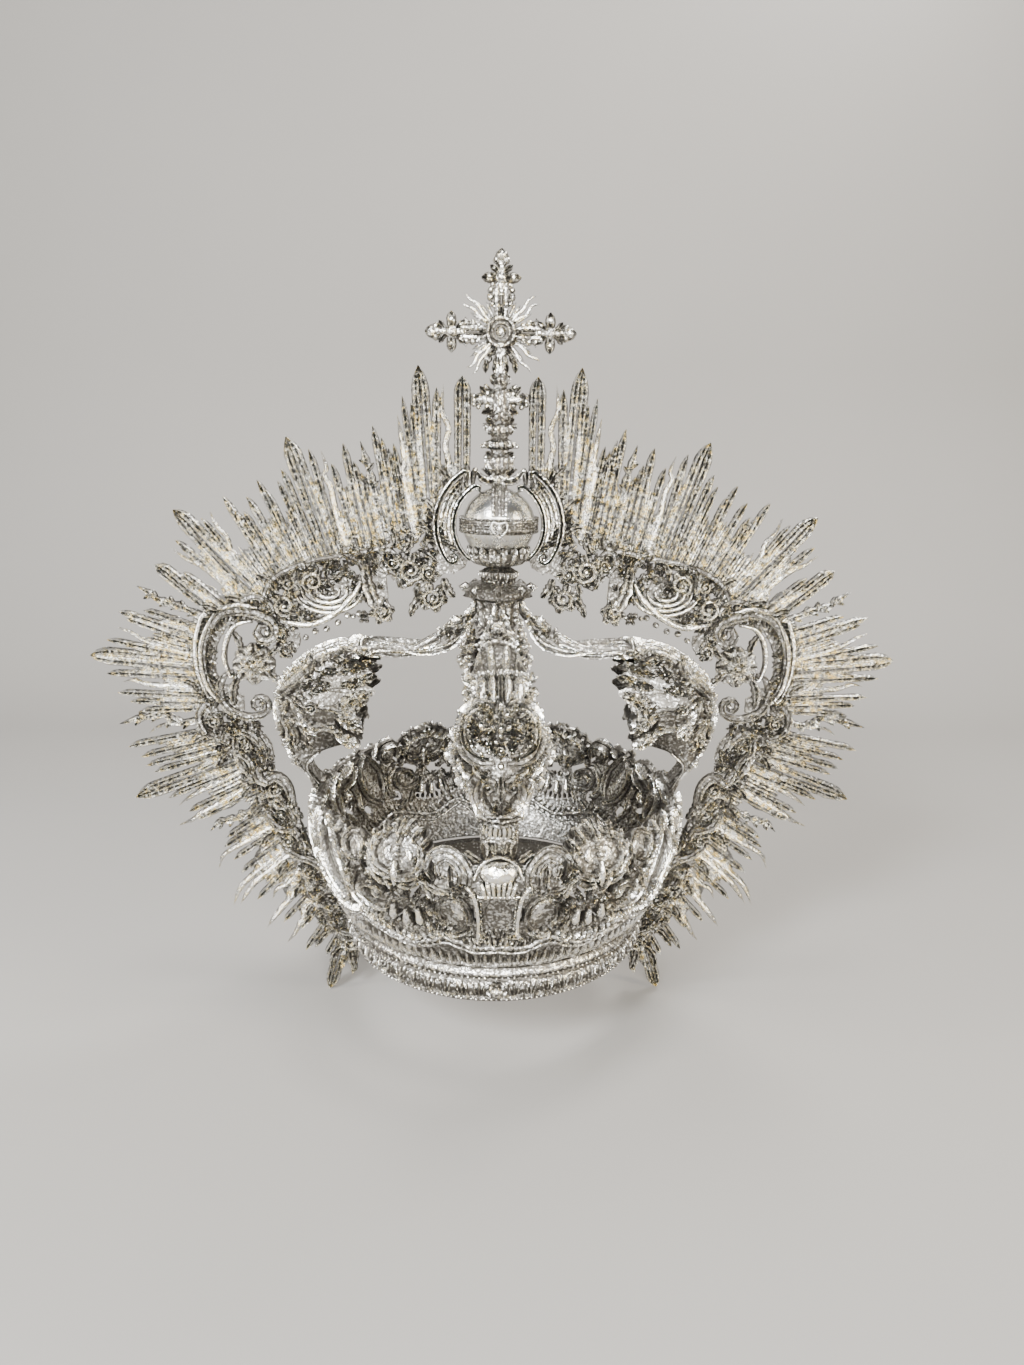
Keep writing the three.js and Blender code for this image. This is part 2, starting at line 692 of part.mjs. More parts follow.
function makeHaloHalf(name, side) {
  const outline = [...haloOuterEdge(), ...haloInnerEdge().reverse()];
  const points = outline.map(([out, z]) => [side * out, z]);
  const plate = uprightPlate(points, HALO_PLATE, -HALO_PLATE / 2);
  return piece(name, plate, finishes.chased);
}

// ---------- the whole crown ----------
const crown = new THREE.Group();
crown.add(makeRing());
crown.add(makeBasket());
crown.add(makeArches());
crown.add(makeHub());
crown.add(makeOrbCup());
crown.add(makeOrb());
crown.add(makeEquatorBand());
crown.add(makeMeridianBand());
crown.add(makeOrbHeart());
crown.add(makeCrescent());
crown.add(makeStem());
crown.add(makeCross());
crown.add(makeSunburst());
crown.add(makeCrossBoss());
crown.add(makeHaloHalf('halo_left', -1));
crown.add(makeHaloHalf('halo_right', 1));

export default crown;
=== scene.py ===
"""Imperial crown of worked silver: every ornament is a closed shell worked out with numpy.

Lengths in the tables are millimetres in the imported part's own frame: the ring's lower rim
is centred on the origin, the front faces -Y and Z is up. Meshes are written in metres.
"""
import math

import bpy
import numpy as np
from mathutils import Matrix, Vector


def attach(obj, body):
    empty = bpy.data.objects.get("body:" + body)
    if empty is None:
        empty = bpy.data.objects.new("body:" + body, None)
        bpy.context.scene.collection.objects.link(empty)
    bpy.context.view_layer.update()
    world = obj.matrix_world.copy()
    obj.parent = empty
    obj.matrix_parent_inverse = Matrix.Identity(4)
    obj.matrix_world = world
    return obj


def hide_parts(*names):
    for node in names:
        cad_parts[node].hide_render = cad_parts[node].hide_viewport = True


bl_info = {
    "name": "Imperial Crown",
    "version": (1, 0, 0),
    "blender": (4, 5, 0),
    "location": "3D View > Sidebar > Crown",
    "description": "Builds a closed imperial crown of chased silver with its halo of rays",
    "category": "Object",
}

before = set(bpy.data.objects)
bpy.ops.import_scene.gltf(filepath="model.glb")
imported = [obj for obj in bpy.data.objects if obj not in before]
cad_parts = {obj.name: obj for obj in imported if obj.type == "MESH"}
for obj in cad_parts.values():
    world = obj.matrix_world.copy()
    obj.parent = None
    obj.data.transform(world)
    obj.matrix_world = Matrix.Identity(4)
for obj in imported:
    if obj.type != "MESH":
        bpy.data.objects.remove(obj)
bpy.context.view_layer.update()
MM = 0.001


# ---------------------------------------------------------------- sections of worked metal
# Closed outlines of a strip's section: side (-1 to 1) and rise (0 at the ground, 1 on top).
ROUND = ((1, 0), (0.88, 0.6), (0.5, 0.93), (0, 1), (-0.5, 0.93), (-0.88, 0.6), (-1, 0))
RIDGE = ((1, 0), (0.6, 0.78), (0, 1), (-0.6, 0.78), (-1, 0))
WIRE = ((1, 0), (0, 1), (-1, 0))
GUTTER = ((1, 0), (0.8, 1), (0.35, 0.42), (-0.35, 0.42), (-0.8, 1), (-1, 0))
LEAF = ((1, 0), (0.6, 1), (0, 0.35), (-0.6, 1), (-1, 0))
TWIN = ((1, 0), (0.8, 0.9), (0.5, 0.95), (0, 0.2), (-0.5, 0.95), (-0.8, 0.9), (-1, 0))
SLAB = ((1, 0), (0.93, 1), (-0.93, 1), (-1, 0))
LANCE = ((1, 0.3), (0.55, 0.72), (0, 1), (-0.55, 0.72), (-1, 0.3), (-0.7, 0), (0.7, 0))
REEDED = ((1, 0.12), (0.55, 1), (0, 0.22), (-0.55, 1), (-1, 0.12), (-0.7, 0), (0.7, 0))

# Shares of a strip's full width from its start to its end.
EVEN = ((0, 1), (1, 1))
SPINDLE = ((0, 0.25), (0.2, 0.8), (0.45, 1), (0.75, 0.7), (1, 0.06))
LEAF_SHAPE = ((0, 0.45), (0.2, 0.85), (0.45, 1), (0.7, 0.88), (0.9, 0.58), (1, 0.12))
SCROLL_SHAPE = ((0, 0.5), (0.12, 0.9), (0.35, 1), (0.6, 0.9), (0.85, 0.6), (1, 0.35))
TAPER = ((0, 1), (0.6, 0.8), (1, 0.15))
OVAL = tuple((u / 12, math.sqrt(1 - (u / 6 - 1) ** 2)) for u in range(13))


def tube_faces(rows, columns, cache={}):
    """Corners of the quads round a tube of rows x columns points, and of the two end fans."""
    if (rows, columns) not in cache:
        r, c = np.meshgrid(np.arange(rows - 1), np.arange(columns), indexing="ij")
        nxt = (c + 1) % columns
        quads = np.stack([r * columns + c, r * columns + nxt, (r + 1) * columns + nxt,
                          (r + 1) * columns + c], -1)
        c = np.arange(columns)
        nxt = (c + 1) % columns
        first, last = rows * columns, rows * columns + 1
        end = (rows - 1) * columns
        fans = np.concatenate([
            np.stack([np.full(columns, first), nxt, c], -1),
            np.stack([np.full(columns, last), end + c, end + nxt], -1),
        ])
        cache[rows, columns] = quads.reshape(-1, 4), fans
    return cache[rows, columns]


def signed_volume(points, quads, tris):
    """Six times the volume inside closed shells: the sum of each triangle's a . (b x c)."""
    local = points - points.mean(-2, keepdims=True)
    parts = np.concatenate([quads[:, [0, 1, 2]], quads[:, [0, 2, 3]], tris])
    a, b, c = (local[..., parts[:, i], :] for i in range(3))
    return (a * np.cross(b, c)).sum((-1, -2))


class Pile:
    """Closed shells in millimetres, kept together until they are written as one mesh."""

    def __init__(self):
        self.points, self.quads, self.tris, self.relief = [], [], [], []
        self.count = 0

    def add(self, points, quads, tris, relief):
        """Adds one shell or a stack of like shells, turned so that their faces look outwards."""
        points = np.asarray(points, float)
        points = points.reshape((-1,) + points.shape[-2:])
        relief = np.broadcast_to(relief, points.shape[:-1])
        inside_out = signed_volume(points, quads, tris) < 0
        starts = self.count + np.arange(len(points)) * points.shape[1]
        for faces, store in ((quads, self.quads), (tris, self.tris)):
            turned = np.where(inside_out[:, None, None], faces[None, :, ::-1], faces[None])
            store.append((turned + starts[:, None, None]).reshape(-1, faces.shape[1]))
        self.points.append(points.reshape(-1, 3))
        self.relief.append(relief.reshape(-1))
        self.count += points.shape[0] * points.shape[1]

    def tube(self, grid, relief):
        """Adds tubes from a grid (..., rows, columns, 3), closed by a fan at each end."""
        rows, columns = grid.shape[-3:-1]
        quads, tris = tube_faces(rows, columns)
        flat = grid.reshape(grid.shape[:-3] + (rows * columns, 3))
        ends = np.stack([grid[..., 0, :, :].mean(-2), grid[..., -1, :, :].mean(-2)], -2)
        relief = np.broadcast_to(relief, grid.shape[:-1])
        tops = np.stack([relief[..., 0, :].mean(-1), relief[..., -1, :].mean(-1)], -1)
        flat_relief = np.concatenate([relief.reshape(relief.shape[:-2] + (-1,)), tops], -1)
        self.add(np.concatenate([flat, ends], -2), quads, tris, flat_relief)

    def write(self, name, material):
        """Makes the mesh and its object, with every corner's painted light and shade as an attribute."""
        points = np.concatenate(self.points) * MM
        quads = np.concatenate(self.quads)
        tris = np.concatenate(self.tris)
        mesh = bpy.data.meshes.new(name)
        mesh.vertices.add(len(points))
        mesh.vertices.foreach_set("co", points.ravel().astype(np.float32))
        corners = np.concatenate([quads.ravel(), tris.ravel()])
        mesh.loops.add(len(corners))
        mesh.loops.foreach_set("vertex_index", corners.astype(np.int32))
        starts = np.concatenate([np.arange(len(quads)) * 4, quads.size + np.arange(len(tris)) * 3])
        mesh.polygons.add(len(starts))
        mesh.polygons.foreach_set("loop_start", starts.astype(np.int32))
        mesh.update(calc_edges=True)
        mesh.polygons.foreach_set("use_smooth", np.ones(len(starts), bool))
        mesh.set_sharp_from_angle(angle=math.radians(48))
        # relief holds the painted light and shade: low where tarnish and shade are painted, high on worn, lit
        # metal.
        field = mesh.attributes.new("relief", "FLOAT", "POINT")
        field.data.foreach_set("value", np.concatenate(self.relief).astype(np.float32))
        mesh.materials.append(material)
        obj = bpy.data.objects.new(name, mesh)
        bpy.context.scene.collection.objects.link(obj)
        return obj


# ---------------------------------------------------------------- paths
def unit(angle):
    """Points of the unit circle at these angles."""
    return np.stack([np.cos(angle), np.sin(angle)], -1)


def evenly(total, count):
    """Values spread evenly from 0 up to a total, which is itself left out, as round a circle."""
    return np.linspace(0, total, count, endpoint=False)


def level(s, t):
    """Points at every s, all of them at one t."""
    return np.stack([s, np.full(len(s), t)], -1)


def xyz(x, y, z):
    """Points from their three coordinates, spread to one shape."""
    return np.stack(np.broadcast_arrays(x, y, z), -1)


def swung(radius, angle, z):
    """Points at a radius and a height, an angle round from the front."""
    return xyz(radius * np.sin(angle), -radius * np.cos(angle), z)


def length_of(points):
    """The length of a polyline."""
    return np.linalg.norm(np.diff(np.asarray(points, float), axis=0), axis=1).sum()


def square(vector):
    """A vector of the same length, a quarter turn to the left."""
    return np.stack([-vector[..., 1], vector[..., 0]], -1)


def paired(*numbers):
    """Points from numbers taken two at a time."""
    return list(zip(numbers[::2], numbers[1::2]))


def smooth_path(points, rows):
    """Points spaced evenly along the Catmull-Rom curve through the given ones."""
    p = np.asarray(points, float)
    if len(p) == 2:
        return p[0] + (p[1] - p[0]) * np.linspace(0, 1, rows)[:, None]
    p = np.concatenate([[2 * p[0] - p[1]], p, [2 * p[-1] - p[-2]]])
    t = evenly(1, 12)[:, None]
    a, b, c, d = (p[i:len(p) - 3 + i, None] for i in range(4))
    curve = 0.5 * (2 * b + (c - a) * t + (2 * a - 5 * b + 4 * c - d) * t**2 + (3 * b - a - 3 * c + d) * t**3)
    return even_path(np.concatenate([curve.reshape(-1, p.shape[1]), p[-2:-1]]), rows)


def even_path(points, rows):
    """The same polyline with its points spaced evenly by length."""
    step = np.linalg.norm(np.diff(points, axis=0), axis=1)
    length = np.concatenate([[0], np.cumsum(step)])
    at = np.linspace(0, length[-1], rows)
    return np.stack([np.interp(at, length, points[:, k]) for k in range(points.shape[1])], -1)


def volute(path, radius, turns):
    """Spiral that goes on from a path's end, on the side it bends to: its radius falls to a quarter."""
    end = path[-1]
    before, along = path[-4] - path[-8], end - path[-2]
    along = along / (np.linalg.norm(along) + 1e-9)
    hand = 1.0 if before[0] * along[1] - before[1] * along[0] >= 0 else -1.0
    centre = end + square(along) * hand * radius
    start = math.atan2(end[1] - centre[1], end[0] - centre[0])
    u = np.linspace(0, 1, max(6, int(turns * 16)))[1:]
    angle = start + hand * u * turns * 2 * math.pi
    reach = radius * (1 - 0.75 * u)
    return centre + unit(angle) * reach[:, None]


def scroll_path(points, head, tail, rows):
    """Path through the points, with a volute (radius, turns) wound onto its end and its start."""
    p = smooth_path(points, 24)
    curl = volute(p[::-1], *tail)[::-1] if tail else p[:0]
    if head:
        p = np.concatenate([p, volute(p, *head)])
    return even_path(np.concatenate([curl, p]), rows)


def size_of(key):
    """A size from the sidebar, in millimetres."""
    return 1000.0 * getattr(bpy.context.scene.crown_sizes, key)


# ---------------------------------------------------------------- the chaser's tools
SINK_STEP = 0.017           # how much deeper each stroke starts than the one before
SINK_STEPS = 19             # and after how many strokes the levels come round again
SCROLL_STEP = 3.0           # about how far apart the sections of a scroll stand
LARGE_FLOWER = 4.5          # radius above which a rolled flower gets its full detail
LEAFLET = ((0, 0.5), (0.4, 1), (0.75, 0.75), (1, 0.08))
DOME_RISE = np.array([-0.12, 0.05, 0.62, 0.97])
DOME_REACH = np.array([0.95, 1, 0.8, 0.3])


class Bench:
    """Draws ornament on one surface. place(s, t, h) gives the point h above the surface at s, t.

    Strokes start at the ground, where shade is painted: their metal is as bright there as foot says, and
    hidden undersides are at least as bright as underside. A coarse bench keeps every other row of a stroke.
    """

    def __init__(self, pile, place, ground, seed=1, coarse=False, foot=0.1):
        self.pile, self.place, self.ground, self.coarse, self.foot = pile, place, ground, coarse, foot
        self.underside = 0.0
        self.random = np.random.default_rng(seed)
        self.turn = 0

    def sink(self):
        """A ground level that differs a little from stroke to stroke, so undersides do not share a plane."""
        self.turn += 1
        return self.ground - SINK_STEP * (self.turn % SINK_STEPS)

    def strip(self, path, width, height, section, shape=SCROLL_SHAPE, lift=0.0, crown=None, tone=1.0,
              rough=0.0, bright_tip=0.0):
        """Carries a section along a path: side moves a point across it, rise lifts it above the ground."""
        path = np.asarray(path, float)
        if self.coarse and path.shape[-2] > 5:
            path = np.concatenate([path[..., :-1:2, :], path[..., -1:, :]], -2)
        rows = path.shape[-2]
        along = np.gradient(path, axis=-2)
        along /= np.linalg.norm(along, axis=-1, keepdims=True) + 1e-9
        across = square(along)
        u = np.linspace(0, 1, rows)
        share = np.interp(u, *zip(*shape))
        rise_share = np.interp(u, *zip(*crown)) if crown else 0.35 + 0.65 * np.sqrt(np.clip(share, 0, 1))
        side, rise = np.array(section, float).T
        half = np.asarray(width)[..., None] * share
        at = path[..., :, None, :] + across[..., :, None, :] * (half[..., :, None] * side)[..., None]
        base = self.sink()
        top = (np.asarray(height)[..., None] * rise_share)[..., :, None] * rise
        if rough:
            top = top * (1 + rough * self.random.uniform(-1, 1, top.shape[:-1] + (1,)))
        h = base + top + lift * (rise > 0)
        grid = self.place(at[..., 0], at[..., 1], np.broadcast_to(h, at.shape[:-1]))
        # Painted light and shade: a corner is painted brighter the higher it stands on the section, worn and
        # lit on top, tarnished and shaded below; bright_tip paints the narrow end brighter and tone darkens
        # the whole stroke.
        polish = rise * (0.4 + 0.6 * rise_share[:, None])
        if bright_tip:
            polish = polish + bright_tip * (1 - share[:, None])
        metal = tone * np.clip(self.foot + (1 - self.foot) * polish, 0, 1)
        hidden = (rise == 0) & ((np.abs(side) < 1) | (section is SLAB))
        self.pile.tube(grid, np.where(hidden, np.maximum(metal, self.underside), metal))

    def run(self, points, rows, *form, **more):
        """A strip along the smooth curve through some points."""
        self.strip(smooth_path(points, rows), *form, **more)

    def wire(self, points, rows, width, height, **more):
        """A round wire of even width along a smooth curve."""
        self.run(points, rows, width, height, ROUND, EVEN, **more)

    def scroll(self, points, width, height, head=None, tail=None, section=GUTTER, shape=SCROLL_SHAPE,
               rows=None):
        """A scroll: a strip along a curve with its ends wound into volutes, and a bead in each eye."""
        length = length_of(points) + sum(4 * turns * radius for radius, turns in filter(None, (head, tail)))
        path = scroll_path(points, head, tail, rows or int(np.clip(length / SCROLL_STEP, 8, 32)))
        self.strip(path, width, height, section, shape)
        for eye, wound in ((path[-1], head), (path[0], tail)):
            if wound:
                self.beads([eye], max(0.9, wound[0] * 0.3), height * 1.05)

    def leaf(self, base, tip, width, height, bend=0.0, lobes=3):
        """A leaf: veined section on a bowed spine, its width a long oval broken into lobes."""
        base, tip = np.asarray(base, float), np.asarray(tip, float)
        u = np.linspace(0, 1, 4 + 3 * lobes if lobes else 6)
        spine = tip - base
        path = base + u[:, None] * spine + (bend * 4 * u * (1 - u))[:, None] * square(spine)
        oval = np.interp(u, *zip(*LEAF_SHAPE))
        notch = 1 - 0.38 * (1 - np.abs(np.sin(np.pi * lobes * u))) * (u > 0.08) if lobes else 1
        self.strip(path, width, height, LEAF, tuple(zip(u, oval * notch)))

    def leaves(self, base, tip, width, height):
        """Many small plain leaves at once, from arrays of base and tip points."""
        base, tip = np.asarray(base, float), np.asarray(tip, float)
        u = np.linspace(0, 1, 5)[:, None]
        path = base[:, None] + u * (tip - base)[:, None]
        width = np.broadcast_to(width, len(base))
        self.strip(path, width, np.broadcast_to(height, len(base)), WIRE, LEAFLET)

    def beads(self, centres, radius, height, around=8, tone=1.0):
        """Domes: rings of a half ellipsoid, from the ground to the top."""
        centres = np.asarray(centres, float).reshape(-1, 2)
        radius = np.broadcast_to(radius, len(centres))
        height = np.broadcast_to(height, len(centres))
        angle = evenly(2 * np.pi, around)
        reach = radius[:, None, None] * DOME_REACH[:, None]
        s = centres[:, None, None, 0] + reach * np.cos(angle)
        t = centres[:, None, None, 1] + reach * np.sin(angle)
        h = self.sink() + height[:, None, None] * np.broadcast_to(DOME_RISE[:, None], s.shape[1:])
        # Painted shade: each dome is painted darker at its foot and brighter at its top.
        metal = tone * np.clip(0.2 + self.foot + 0.7 * DOME_RISE, 0, 1)
        self.pile.tube(self.place(s, t, h), metal[:, None])

    def bead_row(self, path, pitch, radius, height):
        """Beads strung along a path at an even pitch."""
        count = max(2, int(length_of(path) / pitch))
        self.beads(even_path(np.asarray(path, float), count), radius, height, 6)

    def flower(self, centre, radius, height, petals=6, turn=0.0):
        """Petals as short leaves round a bead, with a smaller ring of them above."""
        centre = np.asarray(centre, float)
        for reach, lift, offset in ((1.0, 0.0, 0.0), (0.62, height * 0.3, 0.5)):
            out = unit(turn + (np.arange(petals) + offset) * 2 * np.pi / petals)
            u = np.linspace(0, 1, 5)[:, None]
            path = centre + out[:, None] * radius * reach * (0.12 + 0.88 * u)
            wide = np.full(petals, radius * reach * math.sin(math.pi / petals) * 1.1)
            self.strip(path, wide, np.full(petals, height * 0.8), LEAF,
                       ((0, 0.3), (0.35, 0.85), (0.75, 1), (1, 0.4)), lift)
        self.beads([centre], radius * 0.24, height * 1.25)

    def rosette(self, centre, radius, height, turn=0.0):
        """A rolled flower: one spiral ridge wound round a bead, inside a ring of petals."""
        centre = np.asarray(centre, float)
        large = radius > LARGE_FLOWER
        rows, ridge, petals, petal, around = (17, RIDGE, 6, LEAF, 8) if large else (12, WIRE, 5, WIRE, 6)
        u = np.linspace(0, 1, rows)
        reach = radius * (0.82 - 0.62 * u)
        line = centre + unit(turn + u * 9.5) * reach[:, None]
        self.strip(line, radius * 0.2, height, ridge, ((0, 0.5), (0.15, 1), (0.8, 0.9), (1, 0.7)))
        out = unit(turn + np.arange(petals) * 2 * np.pi / petals)
        u = np.linspace(0, 1, 4)[:, None]
        path = centre + out[:, None] * radius * (0.35 + 0.7 * u)
        wide, tall = np.full(petals, radius * 0.38), np.full(petals, height * 0.62)
        self.strip(path, wide, tall, petal, ((0, 0.5), (0.6, 1), (1, 0.5)))
        self.beads([centre], radius * 0.22, height * 1.15, around)

    def fan(self, base, toward, spread, ribs, height):
        """A shell: ribs from one point that widen to a scalloped edge. toward is the middle rib's end."""
        base, toward = np.asarray(base, float), np.asarray(toward, float)
        span = toward - base
        length = np.linalg.norm(span)
        middle = math.atan2(span[1], span[0])
        share = np.linspace(-1, 1, ribs)
        out = unit(middle + np.radians(spread) / 2 * share)
        reach = length * (1 - 0.18 * share**2)
        u = np.linspace(0, 1, 7)[:, None]
        path = base + out[:, None] * reach[:, None, None] * (0.15 + 0.85 * u)
        wide = length * math.sin(np.radians(spread) / 2 / max(ribs - 1, 1)) * 1.15
        self.strip(path, np.full(ribs, wide), np.full(ribs, height), ROUND,
                   ((0, 0.25), (0.75, 1), (0.92, 0.8), (1, 0.3)))

    def frill(self, path, side, pitch, length, width, height, lean=0.5, reach=0.0):
        """Small leaves along one side of a path, leaning towards its end."""
        fine = even_path(np.asarray(path, float), 60)
        count = max(2, int(length_of(fine) / pitch))
        spot = even_path(fine, count)
        along = np.gradient(spot, axis=0)
        along /= np.linalg.norm(along, axis=1, keepdims=True) + 1e-9
        across = square(along) * side
        base = spot + across * reach
        size = length * (0.8 + 0.4 * self.random.random(count))[:, None]
        self.leaves(base, base + (across + along * lean) * size, width, height)

    def pad(self, points, width, height, shape):
        """A flat backing plate along a path, painted darker as shade behind the scrollwork."""
        rows = max(4, int(length_of(points) / 4))
        self.run(points, rows, width, height, SLAB, shape, crown=EVEN, tone=0.45)

    def sprigs(self, points, spread, count, size, height):
        """Foliage strewn along a path: three small leaves that part from one point."""
        path = smooth_path(points, 60)
        spot = path[self.random.integers(0, 60, count)] + self.random.uniform(-1, 1, (count, 2)) * spread
        middle = self.random.uniform(0, 2 * np.pi, count)
        length = size * self.random.uniform(0.75, 1.3, count)
        for turn, share in ((-0.75, 0.8), (0.0, 1.0), (0.75, 0.8)):
            out = unit(middle + turn) * (length * share)[:, None]
            self.leaves(spot, spot + out, size * 0.26, height * share)

    def curls(self, points, spread, count, size, height):
        """Hooked tendrils strewn along a path, each an arc whose radius shrinks as it turns."""
        path = smooth_path(points, 60)
        spot = path[self.random.integers(0, 60, count)] + self.random.uniform(-1, 1, (count, 2)) * spread
        u = np.linspace(0, 1, 7)
        hand = self.random.choice((-1.0, 1.0), (count, 1))
        radius = size * self.random.uniform(0.65, 1.4, (count, 1))
        angle = self.random.uniform(0, 2 * np.pi, (count, 1)) + hand * u * 5.4
        reach = radius * (1 - 0.72 * u)
        line = spot[:, None] + unit(angle) * reach[..., None]
        tall = height * self.random.uniform(0.7, 1.15, count)
        self.strip(line, radius[:, 0] * 0.36, tall, WIRE, ((0, 0.2), (0.2, 1), (0.75, 0.75), (1, 0.9)))


# ---------------------------------------------------------------- turned work
def turned_grid(profile, around):
    """Points of a shape turned about an upright axis: each (radius, height) swept round in a circle."""
    radius, z = np.asarray(profile, float).T
    circle = radius[:, None, None] * unit(evenly(2 * np.pi, around))
    return np.concatenate([circle, np.broadcast_to(z[:, None, None], circle.shape[:2] + (1,))], -1)


def ring_faces(rows, columns):
    """Quads of a grid that joins up both ways, as on a ring."""
    r, c = np.meshgrid(np.arange(rows), np.arange(columns), indexing="ij")
    down, nxt = (r + 1) % rows, (c + 1) % columns
    return np.stack([r * columns + c, r * columns + nxt, down * columns + nxt, down * columns + c],
                    -1).reshape(-1, 4)


NO_TRIS = np.zeros((0, 3), int)


def add_ring(pile, grid, relief):
    """Adds a closed ring from a grid of section rows x points around."""
    rows, columns = grid.shape[:2]
    relief = np.broadcast_to(relief, (rows, columns)).reshape(-1)
    pile.add(grid.reshape(1, -1, 3), ring_faces(rows, columns), NO_TRIS, relief)


def thick_grid_faces(keep):
    """Quads of a pierced sheet: kept cells in front and behind, and a wall along every free edge."""
    rows, columns = keep.shape[0] + 1, keep.shape[1] + 1
    r, c = np.nonzero(keep)
    a, b = r * columns + c, r * columns + c + 1
    d, e = a + columns, b + columns
    front = np.stack([a, b, e, d], -1)
    back = front[:, ::-1] + rows * columns
    edges = np.concatenate([np.stack(pair, -1) for pair in ((a, b), (b, e), (e, d), (d, a))])
    key = edges.min(1) * rows * columns + edges.max(1)
    _, first, count = np.unique(key, return_index=True, return_counts=True)
    rim = edges[first[count == 1]]
    shift = rows * columns
    walls = np.stack([rim[:, 1], rim[:, 0], rim[:, 0] + shift, rim[:, 1] + shift], -1)
    return np.concatenate([front, back, walls])


def pierced_sheet(pile, s, t, field, place, bottom, relief):
    """A sheet from the surface down to bottom, kept where field is above 0.

    Edge corners slide down the field's slope on to its zero line, so holes and rims come out smooth.
    """
    ds = np.gradient(field, axis=0) / (np.gradient(s, axis=0) + 1e-9)
    dt = np.gradient(field, axis=1) / (np.gradient(t, axis=1) + 1e-9)
    keep = (field[:-1, :-1] + field[1:, :-1] + field[:-1, 1:] + field[1:, 1:]) > 0
    used = np.zeros(field.shape, int)
    for i in (0, 1):
        for j in (0, 1):
            used[i:field.shape[0] - 1 + i, j:field.shape[1] - 1 + j] += keep
    inner = used == 4
    inner[[0, -1]] |= used[[0, -1]] == 2
    inner[:, [0, -1]] |= used[:, [0, -1]] == 2
    edge = (used > 0) & ~inner
    slope = ds**2 + dt**2 + 1e-6
    move_s = np.clip(-field * ds / slope, -1.2, 1.2) * edge
    move_t = np.clip(-field * dt / slope, -1.2, 1.2) * edge
    s2, t2 = s + move_s, t + move_t
    faces = thick_grid_faces(keep)
    points = np.concatenate([place(s2, t2, h + 0 * s2).reshape(-1, 3) for h in (0.0, bottom)])
    names = np.unique(faces)
    remap = np.zeros(len(points), int)
    remap[names] = np.arange(len(names))
    pile.add(points[names][None], remap[faces], NO_TRIS, relief)


# ---------------------------------------------------------------- finishes
def new_paint(name):
    """A new material, and two functions: one fills a node's sockets, the other adds a node and fills it.

    A socket is given either a value or another node's output to be linked to.
    """
    material = bpy.data.materials.new(name)
    material.use_nodes = True
    tree = material.node_tree

    def fill(node, sockets):
        for key, value in sockets.items():
            if isinstance(value, bpy.types.NodeSocket):
                tree.links.new(value, node.inputs[key])
            else:
                node.inputs[key].default_value = value

    def add(kind, sockets, output=0, **settings):
        made = tree.nodes.new("ShaderNode" + kind)
        for key, value in settings.items():
            setattr(made, key, value)
        fill(made, sockets)
        return made.outputs[output]
    return material, fill, add


# Punch marks and painted gold glints: how many to the metre, and how strongly each shows.
FINE_MARKS = 620.0
CHASED_LUMPS = 290.0
WARM_GLINT_SPOTS = 330.0
CLOUDS = 55.0
SWAY = 170.0
SWAY_REACH = 0.006          # how far the lumps' pattern is bent
LUMP_DEPTH = 0.0014
MARK_DEPTH = 0.0007
# Painted shade in the creases between the chased lumps, and the softness of the turn from painted shade in
# the hollows to bright metal:
CREASE_SHADE_SHARE = 0.25         # how much darker a crease between two lumps is
RUB_AND_SHADE_SOFTNESS = 0.3          # half the band of heights over which hollows turn bright
# Colour of the painted gold glints on the bright metal.
WARM_GLINT_COLOUR = (1.0, 0.86, 0.5, 1)


